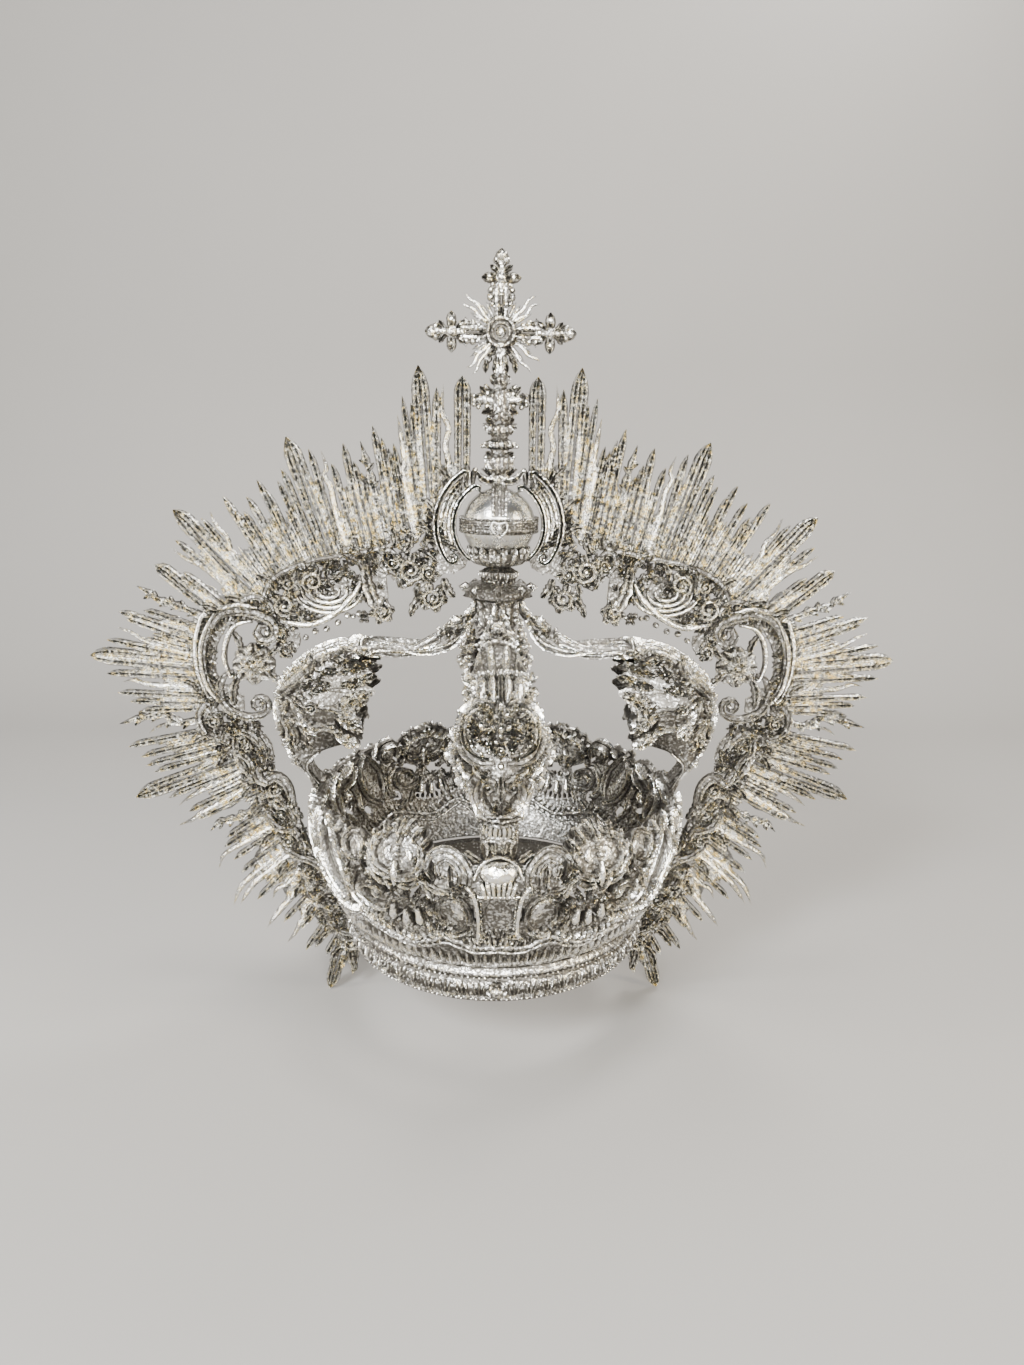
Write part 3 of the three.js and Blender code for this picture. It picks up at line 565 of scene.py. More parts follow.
def silver(name, bright, patina_and_shade, gloss, warm_glint_strength, depth, rub_and_shade_level, glint_specks, lumps_and_crease_shade=1.0):
    """Worked silver: tarnish and painted shade in the hollows, worn and painted-lit ridges bright, with punch
    marks and faint painted gold glints.
    """
    material, fill, add = new_paint(name)
    where = add("TexCoord", {}, "Object")
    # The relief attribute carries each corner's painted light and shade: low where tarnish and shade are
    # painted, high on worn, lit ridges.
    height = add("Attribute", {}, "Fac", attribute_name="relief")
    noise = {"Vector": where, "Detail": 3.0, "Roughness": 0.55}
    fine = add("TexNoise", noise | {"Scale": FINE_MARKS}, "Fac")
    broad = add("TexNoise", noise | {"Scale": CLOUDS}, "Fac")
    warm_glint_noise = add("TexNoise", {"Vector": where, "Scale": WARM_GLINT_SPOTS, "Detail": 2.0, "Roughness": 0.6}, "Fac")
    sway = add("TexNoise", {"Vector": where, "Scale": SWAY, "Detail": 1.0}, "Color")
    bent = add("VectorMath", {0: sway, 1: (SWAY_REACH,) * 3, 2: where}, "Vector", operation="MULTIPLY_ADD")
    chased = add("TexVoronoi", {"Vector": bent, "Scale": CHASED_LUMPS, "Smoothness": 0.35}, "Distance",
                 feature="SMOOTH_F1")

    # Hollows stay dark, as tarnish and painted shade: each corner's painted light and shade, less painted
    # shade in the creases between the chased lumps, plus fine painted glint specks.
    crease_shade = add("Math", {0: chased, 1: -CREASE_SHADE_SHARE * lumps_and_crease_shade, 2: height}, operation="MULTIPLY_ADD")
    # Fine noise scatters painted glint specks over the painted shade.
    shade_and_glints = add("Math", {0: fine, 1: glint_specks, 2: crease_shade}, operation="MULTIPLY_ADD")
    band = {"Value": shade_and_glints, "From Min": rub_and_shade_level - RUB_AND_SHADE_SOFTNESS, "From Max": rub_and_shade_level + RUB_AND_SHADE_SOFTNESS}
    rubbed_and_lit = add("MapRange", band, "Result", interpolation_type="SMOOTHSTEP")

    # Colour: tarnish and painted shade to lit silver by that share, then painted gold glints in spots on the
    # bright parts.
    spots = {"Value": warm_glint_noise, "From Min": 0.45, "From Max": 0.6, "To Max": warm_glint_strength}
    warm_glint_share = add("MapRange", spots, "Result", interpolation_type="SMOOTHSTEP")
    warm_glint_on_bright = add("Math", {0: warm_glint_share, 1: rubbed_and_lit}, operation="MULTIPLY")
    base = mixed(add, rubbed_and_lit, (*patina_and_shade, 1), (*bright, 1))
    with_warm_glints = mixed(add, warm_glint_on_bright, base, WARM_GLINT_COLOUR, blend_type="MULTIPLY")

    # Roughness: duller where dark, with broad clouds over it.
    clouds = {"Value": broad, "From Min": 0.3, "From Max": 0.7, "To Min": 1.25, "To Max": 0.8}
    cloud = add("MapRange", clouds, "Result")
    rough = add("MapRange", {"Value": rubbed_and_lit, "To Min": min(1.0, gloss + 0.3), "To Max": gloss}, "Result")
    finish = add("Math", {0: rough, 1: cloud}, operation="MULTIPLY")

    lumps = {"Height": chased, "Strength": 0.35 * lumps_and_crease_shade, "Distance": LUMP_DEPTH}
    tool = add("Bump", lumps, "Normal", invert=True)
    marks = {"Height": fine, "Strength": 0.4 * depth, "Distance": MARK_DEPTH, "Normal": tool}
    rub = add("Bump", marks, "Normal")
    shader = material.node_tree.nodes["Principled BSDF"]
    fill(shader, {"Metallic": 1.0, "Base Color": with_warm_glints, "Roughness": finish, "Normal": rub})
    return material


def mixed(add, share, first, second, **settings):
    """Two colours mixed by a share between 0 and 1."""
    return add("Mix", {"Factor": share, "A": first, "B": second}, "Result", data_type="RGBA", **settings)


def piece(name, finish, slot, node, *draws):
    """Makes one piece from functions that draw on a pile, attaches it to the root and hides the node's
    imported part.
    """
    pile = Pile()
    for draw in draws:
        draw(pile)
    obj = pile.write(name, silver_of(finish))
    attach(obj, "root")
    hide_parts(node)


# ---------------------------------------------------------------- the halo
HALO_BACK = -1.4            # back of the rays, behind the middle of the halo
HALO_BAND_GROUND = 0.9      # where the scrollwork starts
WEB_DROP = 0.35             # how far the plate behind the ribs lies under them
RAY_STEP = 3.2              # about how far apart the sections of a ray stand
RIB = {"crown": EVEN, "rough": 0.16, "bright_tip": 0.6}    # level, unevenly hammered, brighter to the tip

# Rays of one half, from the middle outwards and round to the foot: the kind, the half width, how far
# below the tip the gap to the next ray reaches, then points (distance out, height) from tip to root.
RAYS = (
    ("double", 5, 44, (22, 349.5), (22, 291)),
    ("flame", 1.98, 40, (33, 345), (34, 330), (30, 320), (32, 310), (30, 300), (30, 280)),
    ("blade", 2.8, 14, (37, 343), (37.5, 266)),
    ("double", 5.2, 14, (47.5, 355), (41, 262)),
    ("blade", 2.02, 14, (52, 334), (44, 260)),
    ("blade", 2.02, 14, (57, 338), (46.5, 258)),
    ("flame", 2.2, 36, (60, 327), (58, 315), (56, 300), (57, 293), (49, 256)),
    ("blade", 2.02, 14, (62.5, 311), (52, 254)),
    ("blade", 2.02, 14, (65.5, 308.5), (55, 252)),
    ("blade", 2.02, 14, (69.5, 314.5), (58.5, 250)),
    ("blade", 2.46, 26, (74.5, 321), (62, 250)),
    ("leafy", 3.4, 14, (82, 312), (76, 290), (67, 250)),
    ("blade", 2.24, 14, (81.5, 294), (72, 250)),
    ("blade", 2.24, 14, (86, 300.5), (75.5, 250)),
    ("blade", 2.69, 14, (92, 310.5), (79.5, 248)),
    ("blade", 2.46, 30, (99, 299), (84.5, 247)),
    ("flame", 2.2, 50, (105, 306), (102, 296), (104, 292), (100, 285), (97, 268), (90, 246)),
    ("blade", 2.46, 14, (112, 307), (95, 244)),
    ("double", 5.4, 60, (125, 314), (100, 240)),
    ("blade", 2.46, 14, (128.5, 295.5), (107, 240)),
    ("blade", 2.02, 14, (131, 288.5), (110, 236)),
    ("blade", 2.24, 14, (138, 283), (114.5, 230)),
    ("blade", 2.46, 14, (143, 289), (118, 232)),
    ("blade", 2.69, 14, (149.5, 279), (122, 228)),
    ("blade", 2.24, 14, (152, 270.5), (126, 225)),
    ("blade", 2.24, 14, (157, 271), (129, 224)),
    ("blade", 2.69, 26, (163.5, 279), (133, 226)),
    ("flame", 1.98, 26, (172, 270), (169, 262), (163, 255), (160, 245), (150, 232), (138, 220)),
    ("blade", 2.02, 14, (177, 266), (143, 222)),
    ("double", 5.5, 14, (193, 271), (146, 219)),
    ("blade", 2.69, 14, (193, 253), (150, 212)),
    ("flame", 2.09, 30, (195.5, 247.5), (190, 243), (187, 241), (180, 238), (165, 226), (155, 214)),
    ("blade", 2.35, 14, (190, 234), (158, 207)),
    ("double", 4.8, 46, (206.5, 238.5), (166, 205)),
    ("leafy", 3.4, 34, (218.5, 225), (212, 221), (205, 216), (195, 213), (172, 203)),
    ("blade", 2.35, 14, (215, 210.5), (180, 199)),
    ("blade", 2.58, 14, (230.5, 209.5), (180, 193)),
    ("blade", 2.24, 14, (226, 205), (181, 188)),
    ("flame", 1.98, 14, (231, 199.5), (224, 196), (218, 192), (200, 186), (180, 182)),
    ("blade", 2.46, 14, (239, 192), (180, 179)),
    ("triple", 5.6, 14, (249.8, 182.5), (180, 176)),
    ("blade", 2.58, 26, (241, 171), (181, 168)),
    ("flame", 2.2, 22, (231.5, 165.5), (225, 166.5), (218, 164), (208, 163), (181, 162)),
    ("blade", 2.46, 14, (235, 158.5), (180, 156)),
    ("blade", 2.35, 14, (228, 153), (179, 151.5)),
    ("blade", 2.35, 48, (222.5, 147), (178, 148.5)),
    ("leafy", 3.6, 44, (236.5, 138), (225, 141), (208, 144), (200, 139), (172, 142)),
    ("thorn", 1.2, 14, (218, 132.5), (211, 137), (200, 139)),
    ("blade", 2.69, 14, (231.5, 123.5), (174, 136)),
    ("blade", 2.46, 14, (224, 117), (172, 130)),
    ("blade", 2.35, 14, (221.5, 111), (168, 126)),
    ("blade", 2.35, 30, (216.5, 107), (163, 122)),
    ("double", 5.3, 30, (229.5, 90), (152, 120)),
    ("blade", 2.35, 14, (209, 89.5), (152, 113)),
    ("flame", 2.09, 14, (203, 84), (198, 88), (190, 93), (180, 98), (156, 110)),
    ("blade", 2.46, 24, (197, 80), (152, 102)),
    ("flame", 2.2, 14, (203.5, 70.5), (195, 74), (190, 78), (180, 84), (156, 98)),
    ("blade", 2.35, 30, (191, 74.5), (152, 95)),
    ("leafy", 3.2, 30, (184.5, 66), (178, 72), (165, 76), (146, 88)),
    ("blade", 2.46, 14, (174, 62), (140, 86)),
    ("blade", 2.24, 14, (176, 55.5), (140, 79)),
    ("flame", 2.2, 26, (180, 41), (178, 48), (172, 53), (150, 66), (136, 76)),
    ("blade", 2.35, 14, (170, 47), (138, 69)),
    ("blade", 2.46, 14, (166, 37.5), (134, 63)),
    ("flame", 2.42, 26, (172.5, 13.5), (168, 25), (158, 36), (130, 60)),
    ("flame", 2.42, 14, (168, 14.5), (160, 27), (150, 37), (126, 56)),
    ("blade", 2.35, 14, (156.5, 18.5), (126, 49)),
    ("flame", 1.98, 14, (146.5, 18.5), (144, 25), (138, 28), (133, 33), (126, 43)),
    ("flame", 2.42, 24, (151, -2.5), (146, 5), (130, 25), (121, 37)),
    ("blade", 2.35, 14, (140, 2), (118, 27)),
    ("flame", 1.98, 24, (138, -13), (133, -7), (128, 3), (115, 20)),
    ("blade", 2.35, 14, (129, -3), (112, 17)),
    ("blade", 2.35, 14, (126, -18.5), (107, 10)),
    ("blade", 2.24, 14, (120, -17), (104, 5)),
    ("blade", 2.35, 26, (113, -23), (100, 1)),
    ("double", 4.5, 14, (111, -47.2), (99, -6)),
    ("blade", 2.35, 14, (103, -33), (95, -8)),
    ("blade", 2.24, 14, (95.5, -37), (91.5, -16)),
)
BLADE_SHAPE = ((0, 0.8), (0.3, 0.88), (0.87, 1), (0.93, 0.78), (1, 0.05))
FLAME_SHAPE = ((0, 1.1), (0.35, 1), (0.7, 0.85), (0.88, 0.6), (1, 0.05))
LEAFY_SHAPE = (
    (0, 0.7), (0.25, 0.85), (0.36, 0.55), (0.47, 1), (0.56, 0.5), (0.66, 0.95), (0.74, 0.45), (0.83, 0.8),
    (0.9, 0.42), (1, 0.04),
)


def upright(side, front=True):
    """Halo plane: s runs outwards from the middle, t upwards, and h stands off towards the viewer."""
    toward = -1.0 if front else 1.0

    def place(s, t, h):
        return xyz(side * s, toward * h, t)
    return place


def ray_line(points):
    """A ray's centre line from root to tip."""
    return smooth_path(points[::-1], int(np.clip(length_of(points) / RAY_STEP, 12, 26)))


def draw_ray(b, kind, half, line):
    """One ray: ribs along its line, bowed apart and back together round a slit when it has more than one."""
    rise = size_of("ray_rise")
    along = (line[-1] - line[0]) / (np.linalg.norm(line[-1] - line[0]) + 1e-9)
    across = square(along)
    u = np.linspace(0, 1, len(line))
    if kind in ("double", "triple"):
        bow = np.interp(u, (0, 0.3, 0.86, 0.95, 1), (0.5, 0.52, 0.52, 0.3, 0.02)) * half
        for hand in (-1, 1):
            b.strip(line + across * (hand * bow)[:, None], half * 0.52, rise, REEDED, BLADE_SHAPE, **RIB)
        if kind == "triple":
            b.strip(line, half * 0.25, rise * 1.15, RIDGE, BLADE_SHAPE, **RIB)
    elif kind == "leafy":
        path = smooth_path(line, 40)
        b.strip(path, half, rise, LEAF, LEAFY_SHAPE)
        b.ground -= WEB_DROP
        b.strip(path, half * 0.98, rise * 0.3, SLAB, LEAFY_SHAPE)
        b.ground += WEB_DROP
        for k in range(7):
            spot = line[int(len(line) * (0.3 + 0.08 * k))]
            hand = 1 if k % 2 else -1
            b.leaf(spot - across * hand, spot + across * hand * half * 1.2 + along * 4, 1.6, 3.8, lobes=0)
    else:
        section, shape = (REEDED, BLADE_SHAPE) if kind == "blade" else (LANCE, FLAME_SHAPE)
        b.strip(line, half, rise, section, shape, **RIB)


def fill_between(b, first, second):
    """Ribs side by side in the wedge between two rays, from their roots to where the gap opens."""
    (half_a, stop, line_a), (half_b, _, line_b) = first, second
    lines = []
    for line in (line_a, line_b):
        keep = max(0.25, 1 - stop / length_of(line))
        lines.append(even_path(line, 60)[:int(60 * keep)])
    rise, rows = size_of("ray_rise"), 14
    near, far = (even_path(line, rows) for line in lines)
    gap = np.linalg.norm(far - near, axis=1)
    side = (far - near) / (gap[:, None] + 1e-9)
    free = gap - (half_a + half_b) * 0.85
    count = int(math.ceil(free[rows // 3:].max() / size_of("rib_pitch")))
    if free.max() < 0.7:
        return
    u = np.linspace(0, 1, rows)
    for k in range(count):
        path = near + side * (half_a * 0.85 + free * (k + 0.5) / count)[:, None]
        keep = b.random.uniform(0.86, 1.0)
        path = even_path(even_path(path, 40)[:int(40 * keep)], rows)
        width = np.clip(free / count / 2 * 1.12, 0.6, 2.2) * np.interp(u, (0, 0.84, 1), (1, 0.9, 0.06))
        b.strip(path, 1.0, rise * 0.86, RIDGE, tuple(zip(u, width)), **RIB)
    web = np.clip(gap / 2, 1, 9) * np.interp(u, (0, 0.7, 0.92, 1), (1, 1, 0.5, 0.06))
    middle = even_path(even_path((near + far) / 2, 40)[:36], rows)
    b.ground -= WEB_DROP
    # The plate behind the ribs is painted nearly black, as painted shade in the gaps between them.
    b.strip(middle, 1.0, rise * 0.42, SLAB, tuple(zip(u, web)), crown=EVEN, tone=0.1)
    b.ground += WEB_DROP


def draw_halo_rays(b):
    """All the rays of one half with the ribs between them, and leafy filling at their roots."""
    previous = None
    b.underside = 0.85
    for kind, half, stop, *points in RAYS:
        line = ray_line(points)
        draw_ray(b, kind, half, line)
        if kind == "thorn":
            continue
        if previous:
            fill_between(b, previous, (half, stop, line))
        previous = (half, stop, line)
    b.ground += size_of("ray_rise") * 0.6
    for path, spread, count, height in (
        ([(44, 262), (60, 256), (80, 250), (96, 244)], 8, 90, 1.7),
        ([(104, 240), (124, 232), (150, 218), (176, 200)], 5, 70, 1.6),
        ([(184, 190), (184, 165), (178, 138), (160, 116)], 4, 60, 1.6),
        ([(150, 100), (132, 62), (112, 22)], 4, 50, 1.6),
    ):
        b.curls(path, spread, count, 2.4, height)


def draw_halo_pads(b):
    """Plates that carry the scrollwork, from the top of the opening round to the foot."""
    b.underside = 0.8
    for points, half in (
        ([(19, 292), (28, 285), (33, 272), (34, 258), (30, 245), (24, 237)], 6.6),
        ([(27, 240), (36, 240), (46, 232), (57, 238), (66, 233)], 6.5),
        ([(42, 222), (50, 228)], 5),
        ([(76, 238), (74, 214)], 7.5),
        ([(80, 226), (100, 222), (118, 212), (130, 207)], 8.5),
        ([(128, 206), (140, 198)], 8),
        ([(126, 198), (129, 186)], 6),
        ([(150, 206), (166, 206), (176, 192), (179, 178), (177, 162)], 4.6),
        ([(138, 178), (162, 178)], 10),
        ([(168, 164), (168, 146), (156, 140)], 4),
        ([(158, 152), (168, 152)], 6.5),
        ([(178, 150), (178, 136), (165, 134), (150, 128), (144, 115)], 5.2),
        ([(152, 110), (143, 98), (138, 85), (134, 72), (128, 58)], 8),
        ([(130, 58), (117, 32), (108, 12), (98, -10)], 8.5),
    ):
        b.pad(points, half, 2.9, ((0, 0.7), (0.15, 1), (0.85, 1), (1, 0.7)))


# Scrollwork of one half: points (distance out, height), half width, height, then the volutes (radius, turns)
# at the end and at the start.
HALO_SCROLLS = (
    ([(62, 246), (66, 249), (71, 246), (71, 240)], 2.0, 4.8, (4.2, 1.1), None),
    ([(58, 227), (61, 233), (66, 236)], 1.9, 4.4, (2.6, 1.0), (2.2, 0.9)),
    ([(66, 251), (80, 248), (95, 245), (108, 243), (119, 240)], 1.9, 4.4, (3.6, 1.1), (3.0, 1.0)),
    ([(92, 246), (84, 242), (81, 234)], 2.6, 4.8, (2.6, 0.9), (2.8, 1.0)),
    ([(119, 240), (128, 236), (137, 230), (142, 222)], 2.0, 4.4, (3.4, 1.1), (2.4, 0.9)),
    ([(137, 213), (143, 219), (152, 219), (160, 214)], 2.0, 4.4, (2.8, 1.0), (2.6, 1.0)),
    ([(139, 206), (146, 209), (156, 211), (168, 209), (176, 199), (180.5, 185), (178.5, 166), (171, 155)],
     3.0, 5.6, (3.0, 0.8), (8.4, 1.25)),
    ([(150, 205), (160, 202), (166, 193), (168, 180), (165, 170)], 1.7, 4.6, (2.6, 1.0), None),
    ([(180, 208), (185, 191), (184.5, 172), (179, 156)], 1.6, 4.2, (2.4, 0.9), (2.4, 0.9)),
    ([(163, 173), (169, 170), (172, 160), (167, 149), (156, 144), (147, 145)], 2.5, 5.0, (7.0, 1.3), None),
    ([(182, 152), (186, 145), (184, 136), (177, 131)], 2.2, 4.6, (3.2, 1.0), (2.4, 1.0)),
    ([(170, 131), (160, 135), (150, 129), (145, 117)], 2.4, 4.8, (4.2, 1.1), (3.0, 0.8)),
    ([(166, 122), (158, 118), (154, 110), (157, 103)], 2.2, 4.6, (3.2, 1.0), (2.8, 1.0)),
    ([(152, 108), (148, 101), (140, 105), (133, 99), (130, 88)], 3.2, 5.4, (3.6, 1.0), (2.6, 1.0)),
    ([(150, 92), (142, 94), (134, 86), (130, 75)], 2.8, 5.2, (3.4, 1.0), (3.0, 1.0)),
    ([(146, 78), (139, 70), (130, 68), (124, 58)], 2.8, 5.0, (3.6, 1.0), (3.0, 1.0)),
    ([(136, 56), (128, 50), (119, 47), (110, 38), (111, 27), (118, 21)], 2.6, 4.8, (4.2, 1.1), (3.0, 1.0)),
    ([(126, 38), (122, 28), (114, 17), (104, 11)], 2.2, 4.4, (3.4, 1.0), (2.6, 1.0)),
    ([(112, 10), (107, 2), (101, -4), (94, -5)], 2.2, 4.4, (3.0, 1.0), (2.6, 1.0)),
)
# Rolled flowers: middle, radius and height.
HALO_ROSETTES = (
    (42, 235, 6, 5.4), (40, 220, 9, 6), (53, 237, 9.6, 6.4), (64, 241, 5.4, 5), (71, 211, 7.6, 5.8),
    (82, 207.5, 4, 4.6), (112, 229, 8, 5.4), (127, 228, 5.4, 5), (129.5, 214.5, 8.6, 6), (144, 190, 4, 4.6),
    (133, 196, 5, 4.8), (130, 187, 6, 5), (177, 141, 5.4, 5), (163, 145, 3.8, 4.6), (157, 124, 4.6, 4.8),
    (141, 96, 5.8, 5.6), (137, 80, 5.4, 5.2), (134, 61, 5, 5), (122, 39, 5, 5), (113, 4, 4.4, 4.6),
    (103, 1, 4.2, 4.6), (96, -13, 6.4, 4.8), (174, 124, 3.6, 4.2),
)
# Single leaves: root, tip, half width and height.
HALO_LEAVES = (
    (31, 289, 38, 298, 2.4, 3.4), (38, 270, 46, 279, 2.6, 3.4), (40, 258, 50, 263, 2.8, 3.4),
    (33, 232, 26, 220.5, 3.6, 4.6), (38, 241, 49, 249, 2.8, 3.6), (44, 222, 53.5, 208, 3.4, 4.6),
    (48, 229, 49, 219, 2.6, 4.0), (60, 226, 63.5, 239, 3.0, 4.6), (80, 240, 66.5, 206, 5.4, 5.2),
    (75, 238, 70, 251, 3.0, 4.0), (57, 247, 53, 258, 3.0, 3.8), (63, 250, 64, 261, 2.8, 3.6),
    (100, 243, 104, 232, 3.0, 4.6), (91, 236, 100, 230, 3.0, 4.8), (121, 236, 119, 222, 3.0, 4.6),
    (123, 204, 115, 206, 2.6, 4), (134, 222, 146, 233, 3.0, 4.0), (136, 206, 128, 198, 3.0, 4.4),
    (152, 215, 166, 219, 2.8, 4.0), (170, 211, 180, 214, 2.4, 3.6), (140, 184, 134, 193, 2.8, 4.4),
    (140, 172, 132, 166, 2.8, 4.4), (158, 187, 163, 198, 2.6, 4.4), (160, 170, 163, 151, 3.4, 4.8),
    (186, 160, 194, 166, 2.6, 3.6), (180, 132, 190, 127, 2.6, 3.6), (164, 131, 152, 101, 4.0, 4.8),
    (170, 120, 176, 110, 2.8, 4), (155, 98, 162, 90, 2.8, 4), (150, 84, 157, 76, 2.8, 4),
    (144, 66, 151, 58, 2.8, 4), (136, 46, 141, 36, 2.8, 3.8), (127, 30, 131, 20, 2.6, 3.6),
    (120, 14, 124, 5, 2.6, 3.6), (96, -18, 92, -33, 3.2, 4.2), (102, -16, 109, -31, 3.0, 4.0),
    (108, -4, 116, -12, 2.6, 3.8), (124, 44, 113, 17, 3.2, 4.4), (130, 88, 124, 76, 2.8, 4.6),
    (124, 66, 117, 52, 2.8, 4.4),
)


def draw_halo_scrolls(b):
    """Scrolls, flowers and leaves of one half, from the tip over the orb round to the foot."""
    for path, spread, count in (
        ([(30, 288), (38, 264), (44, 244), (64, 238)], 5, 26),
        ([(64, 244), (90, 238), (112, 232), (134, 220)], 8, 60),
        ([(76, 226), (96, 218), (118, 208), (130, 200)], 5, 26),
        ([(134, 212), (152, 210), (172, 206), (181, 180), (176, 156)], 5, 52),
        ([(178, 142), (162, 136), (150, 120), (148, 104)], 7, 48),
        ([(146, 98), (136, 72), (122, 42), (104, 2)], 8, 90),
    ):
        b.sprigs(path, spread, count, 4.6, 3.6)
        b.curls(path, spread, count, 2.2, 4.0)
    for points, width, height, head, tail in HALO_SCROLLS:
        b.scroll(points, width, height, head, tail, section=ROUND if width < 1.8 else GUTTER)
    for x, z, radius, height in HALO_ROSETTES:
        b.rosette((x, z), radius, height, turn=x)
    for x0, z0, x1, z1, width, height in HALO_LEAVES:
        b.leaf((x0, z0), (x1, z1), width, height, bend=0.12, lobes=4 if width > 3.2 else 3)
    # Tall C round the orb: reeds side by side, the outer and inner ones wound up at their ends.
    for k, (radius, top, low) in enumerate(((27.2, 58, -46), (29.9, 52, -24), (32.4, 50, -12),
                                            (34.9, 48, -2), (37.6, 56, -34))):
        arc = [0, ORB_Z - 0.7] + radius * unit(np.radians(np.linspace(top, low, 22)))
        if k in (0, 4):
            b.scroll(arc[::3], 1.7 + 0.1 * k, 5.2, head=(4.2, 1.2), tail=(2.6, 0.9), section=TWIN)
        else:
            b.strip(arc, 1.15, 4.0, ROUND, ((0, 0.5), (0.4, 1), (0.9, 1.3), (1, 0.4)), rough=0.2)
            b.rosette(arc[-1] + [0, -2.4], 2.4, 4.6, turn=k)
    b.frill(arc[3:-2], 1, 5.4, 6.0, 2.0, 3.8, lean=-0.6, reach=1.0)
    for radius, top, low in ((30.0, 56, -30), (34.0, 54, -22)):
        arc = [0, ORB_Z - 0.7] + radius * unit(np.radians(np.linspace(low, top, 22)))
        b.frill(arc, -1, 4.4, 6.4, 1.9, 5.6, lean=0.9, reach=-1.6)
    # Rolled block over the window: arcs one inside the other, a smooth moulding, and pearls under it.
    for k, radius in enumerate((5.5, 9.2, 12.8, 16.4)):
        angle = np.radians(np.linspace(165 + 6 * k, 395 - 12 * k, 16))
        arc = [103.0, 224.5] + radius * unit(angle) * [1.25, 0.86]
        b.strip(arc, 1.7, 5.2 - 0.3 * k, ROUND, SPINDLE)
    b.rosette((103, 225.5), 4.4, 5.6)
    for points, half in (
        ([(83, 230), (88, 221), (100, 209.5), (115, 203), (131, 205)], 2.3),
        ([(172, 210), (179, 197), (182, 184), (180, 166), (173, 154)], 1.5),
        ([(146, 213), (158, 215), (170, 212)], 1.5),
    ):
        b.run(points, 26, half, 6.0, ROUND, ((0, 0.5), (0.2, 1), (0.8, 1), (1, 0.5)))
    b.beads([(72, 218)], 3.2, 6.6, 10)
    b.beads([(85, 210), (88.5, 208), (92, 208.5), (98, 204), (105, 200), (112, 198.5), (118, 194.5)],
            [1.9, 1.7, 2.1, 2.1, 2.1, 2.2, 2.0], 4.2)
    corner = [(142, 209), (156, 212), (169, 210), (177, 199), (181, 185), (179, 166), (172, 156)]
    corner = smooth_path(corner, 40)
    b.frill(corner, 1, 4.6, 5.0, 1.7, 4.8, reach=2.4)
    b.frill(corner, -1, 4.2, 4.6, 1.6, 4.8, reach=2.2)
    # Great flower inside the corner's C.
    b.flower((150, 178), 13.0, 7.0, petals=8)
    b.rosette((150, 178), 5.6, 8.6)


def draw_halo_back(b):
    """The plainer back of the band: its main scrolls and bosses in low relief."""
    for points, head in (
        ([(15, 292), (22, 296), (31, 287), (37.5, 272), (39, 257), (35, 243), (27, 238)], (5.5, 1.2)),
        ([(82, 229), (92, 232), (105, 229), (116, 222), (124, 212)], (4.4, 0.9)),
        ([(146, 203), (150, 207), (160, 210.5), (169, 205), (176, 195), (179.5, 180), (178, 166),
          (173, 155)], (4.0, 1.0)),
        ([(168, 130), (158, 134), (149, 128), (145, 117)], (4.4, 1.1)),
        ([(150, 106), (148, 100), (140, 104), (133, 98), (131, 88)], (3.6, 1.0)),
        ([(128, 54), (124, 46), (116, 44), (110, 36), (112, 26), (118, 20)], (4.2, 1.1)),
    ):
        b.scroll(points, 2.6, 1.8, head=head, section=ROUND)
    for spot, radius in (((55, 237), 7), ((74, 222), 6), ((127, 212), 7), ((150, 178), 9), ((140, 92), 6)):
        b.flower(spot, radius, 2.2)
    b.flower((96, -13), 5, 2.0)


# ---------------------------------------------------------------- the basket
BASKET_PROFILE = (
    (94, 22.4), (103.5, 34), (111, 52), (116.5, 72), (118, 86), (116, 98), (110.5, 107), (103, 114),
)
BASKET_AROUND = 110.0       # radius at which distances round the basket are measured
BASKET_SINK = 2.2           # the chased wall lies this far inside the outline of its ornament
CREST_VALLEY = 84.0         # height of the edge between its lobes
QUARTERS = ((0.0, 1), (0.0, -1), (math.pi, 1), (math.pi, -1))
CREST_LOBES = (
    (0, 10, 98), (14, 8.5, 103.5), (28.5, 10, 113.2), (42.5, 5.5, 102.5), (54, 7, 104.5), (67, 8, 101),
    (79, 5, 102), (90, 9, 98),
)


def basket_place(turn, mirror, inside=False):
    """Basket wall: s runs round from the middle of a quarter's side, t is height, h stands off the wall."""
    profile = smooth_path(BASKET_PROFILE, 80)
    slope = np.gradient(profile, axis=0)
    slope /= np.linalg.norm(slope, axis=1, keepdims=True)
    knots = profile[:, 1]

    def place(s, t, h):
        h = -BASKET_SINK + (-size_of("basket_wall") - h if inside else h)
        radius = np.interp(t, knots, profile[:, 0]) + h * np.interp(t, knots, slope[:, 1])
        z = np.clip(t, 22.4, 200) - h * np.interp(t, knots, slope[:, 0])
        return swung(radius, turn + mirror * s / BASKET_AROUND, z)
    return place


def crest(degrees):
    """Height of the basket's edge: rounded lobes over a valley, by degrees from the nearest side's middle."""
    top = np.full(np.shape(degrees), CREST_VALLEY)
    for middle, half, height in CREST_LOBES:
        share = np.clip(np.abs((degrees - middle) / half), 0, 1)
        top = np.maximum(top, CREST_VALLEY + (height - CREST_VALLEY) * np.sqrt(1 - share**2.4))
    return top


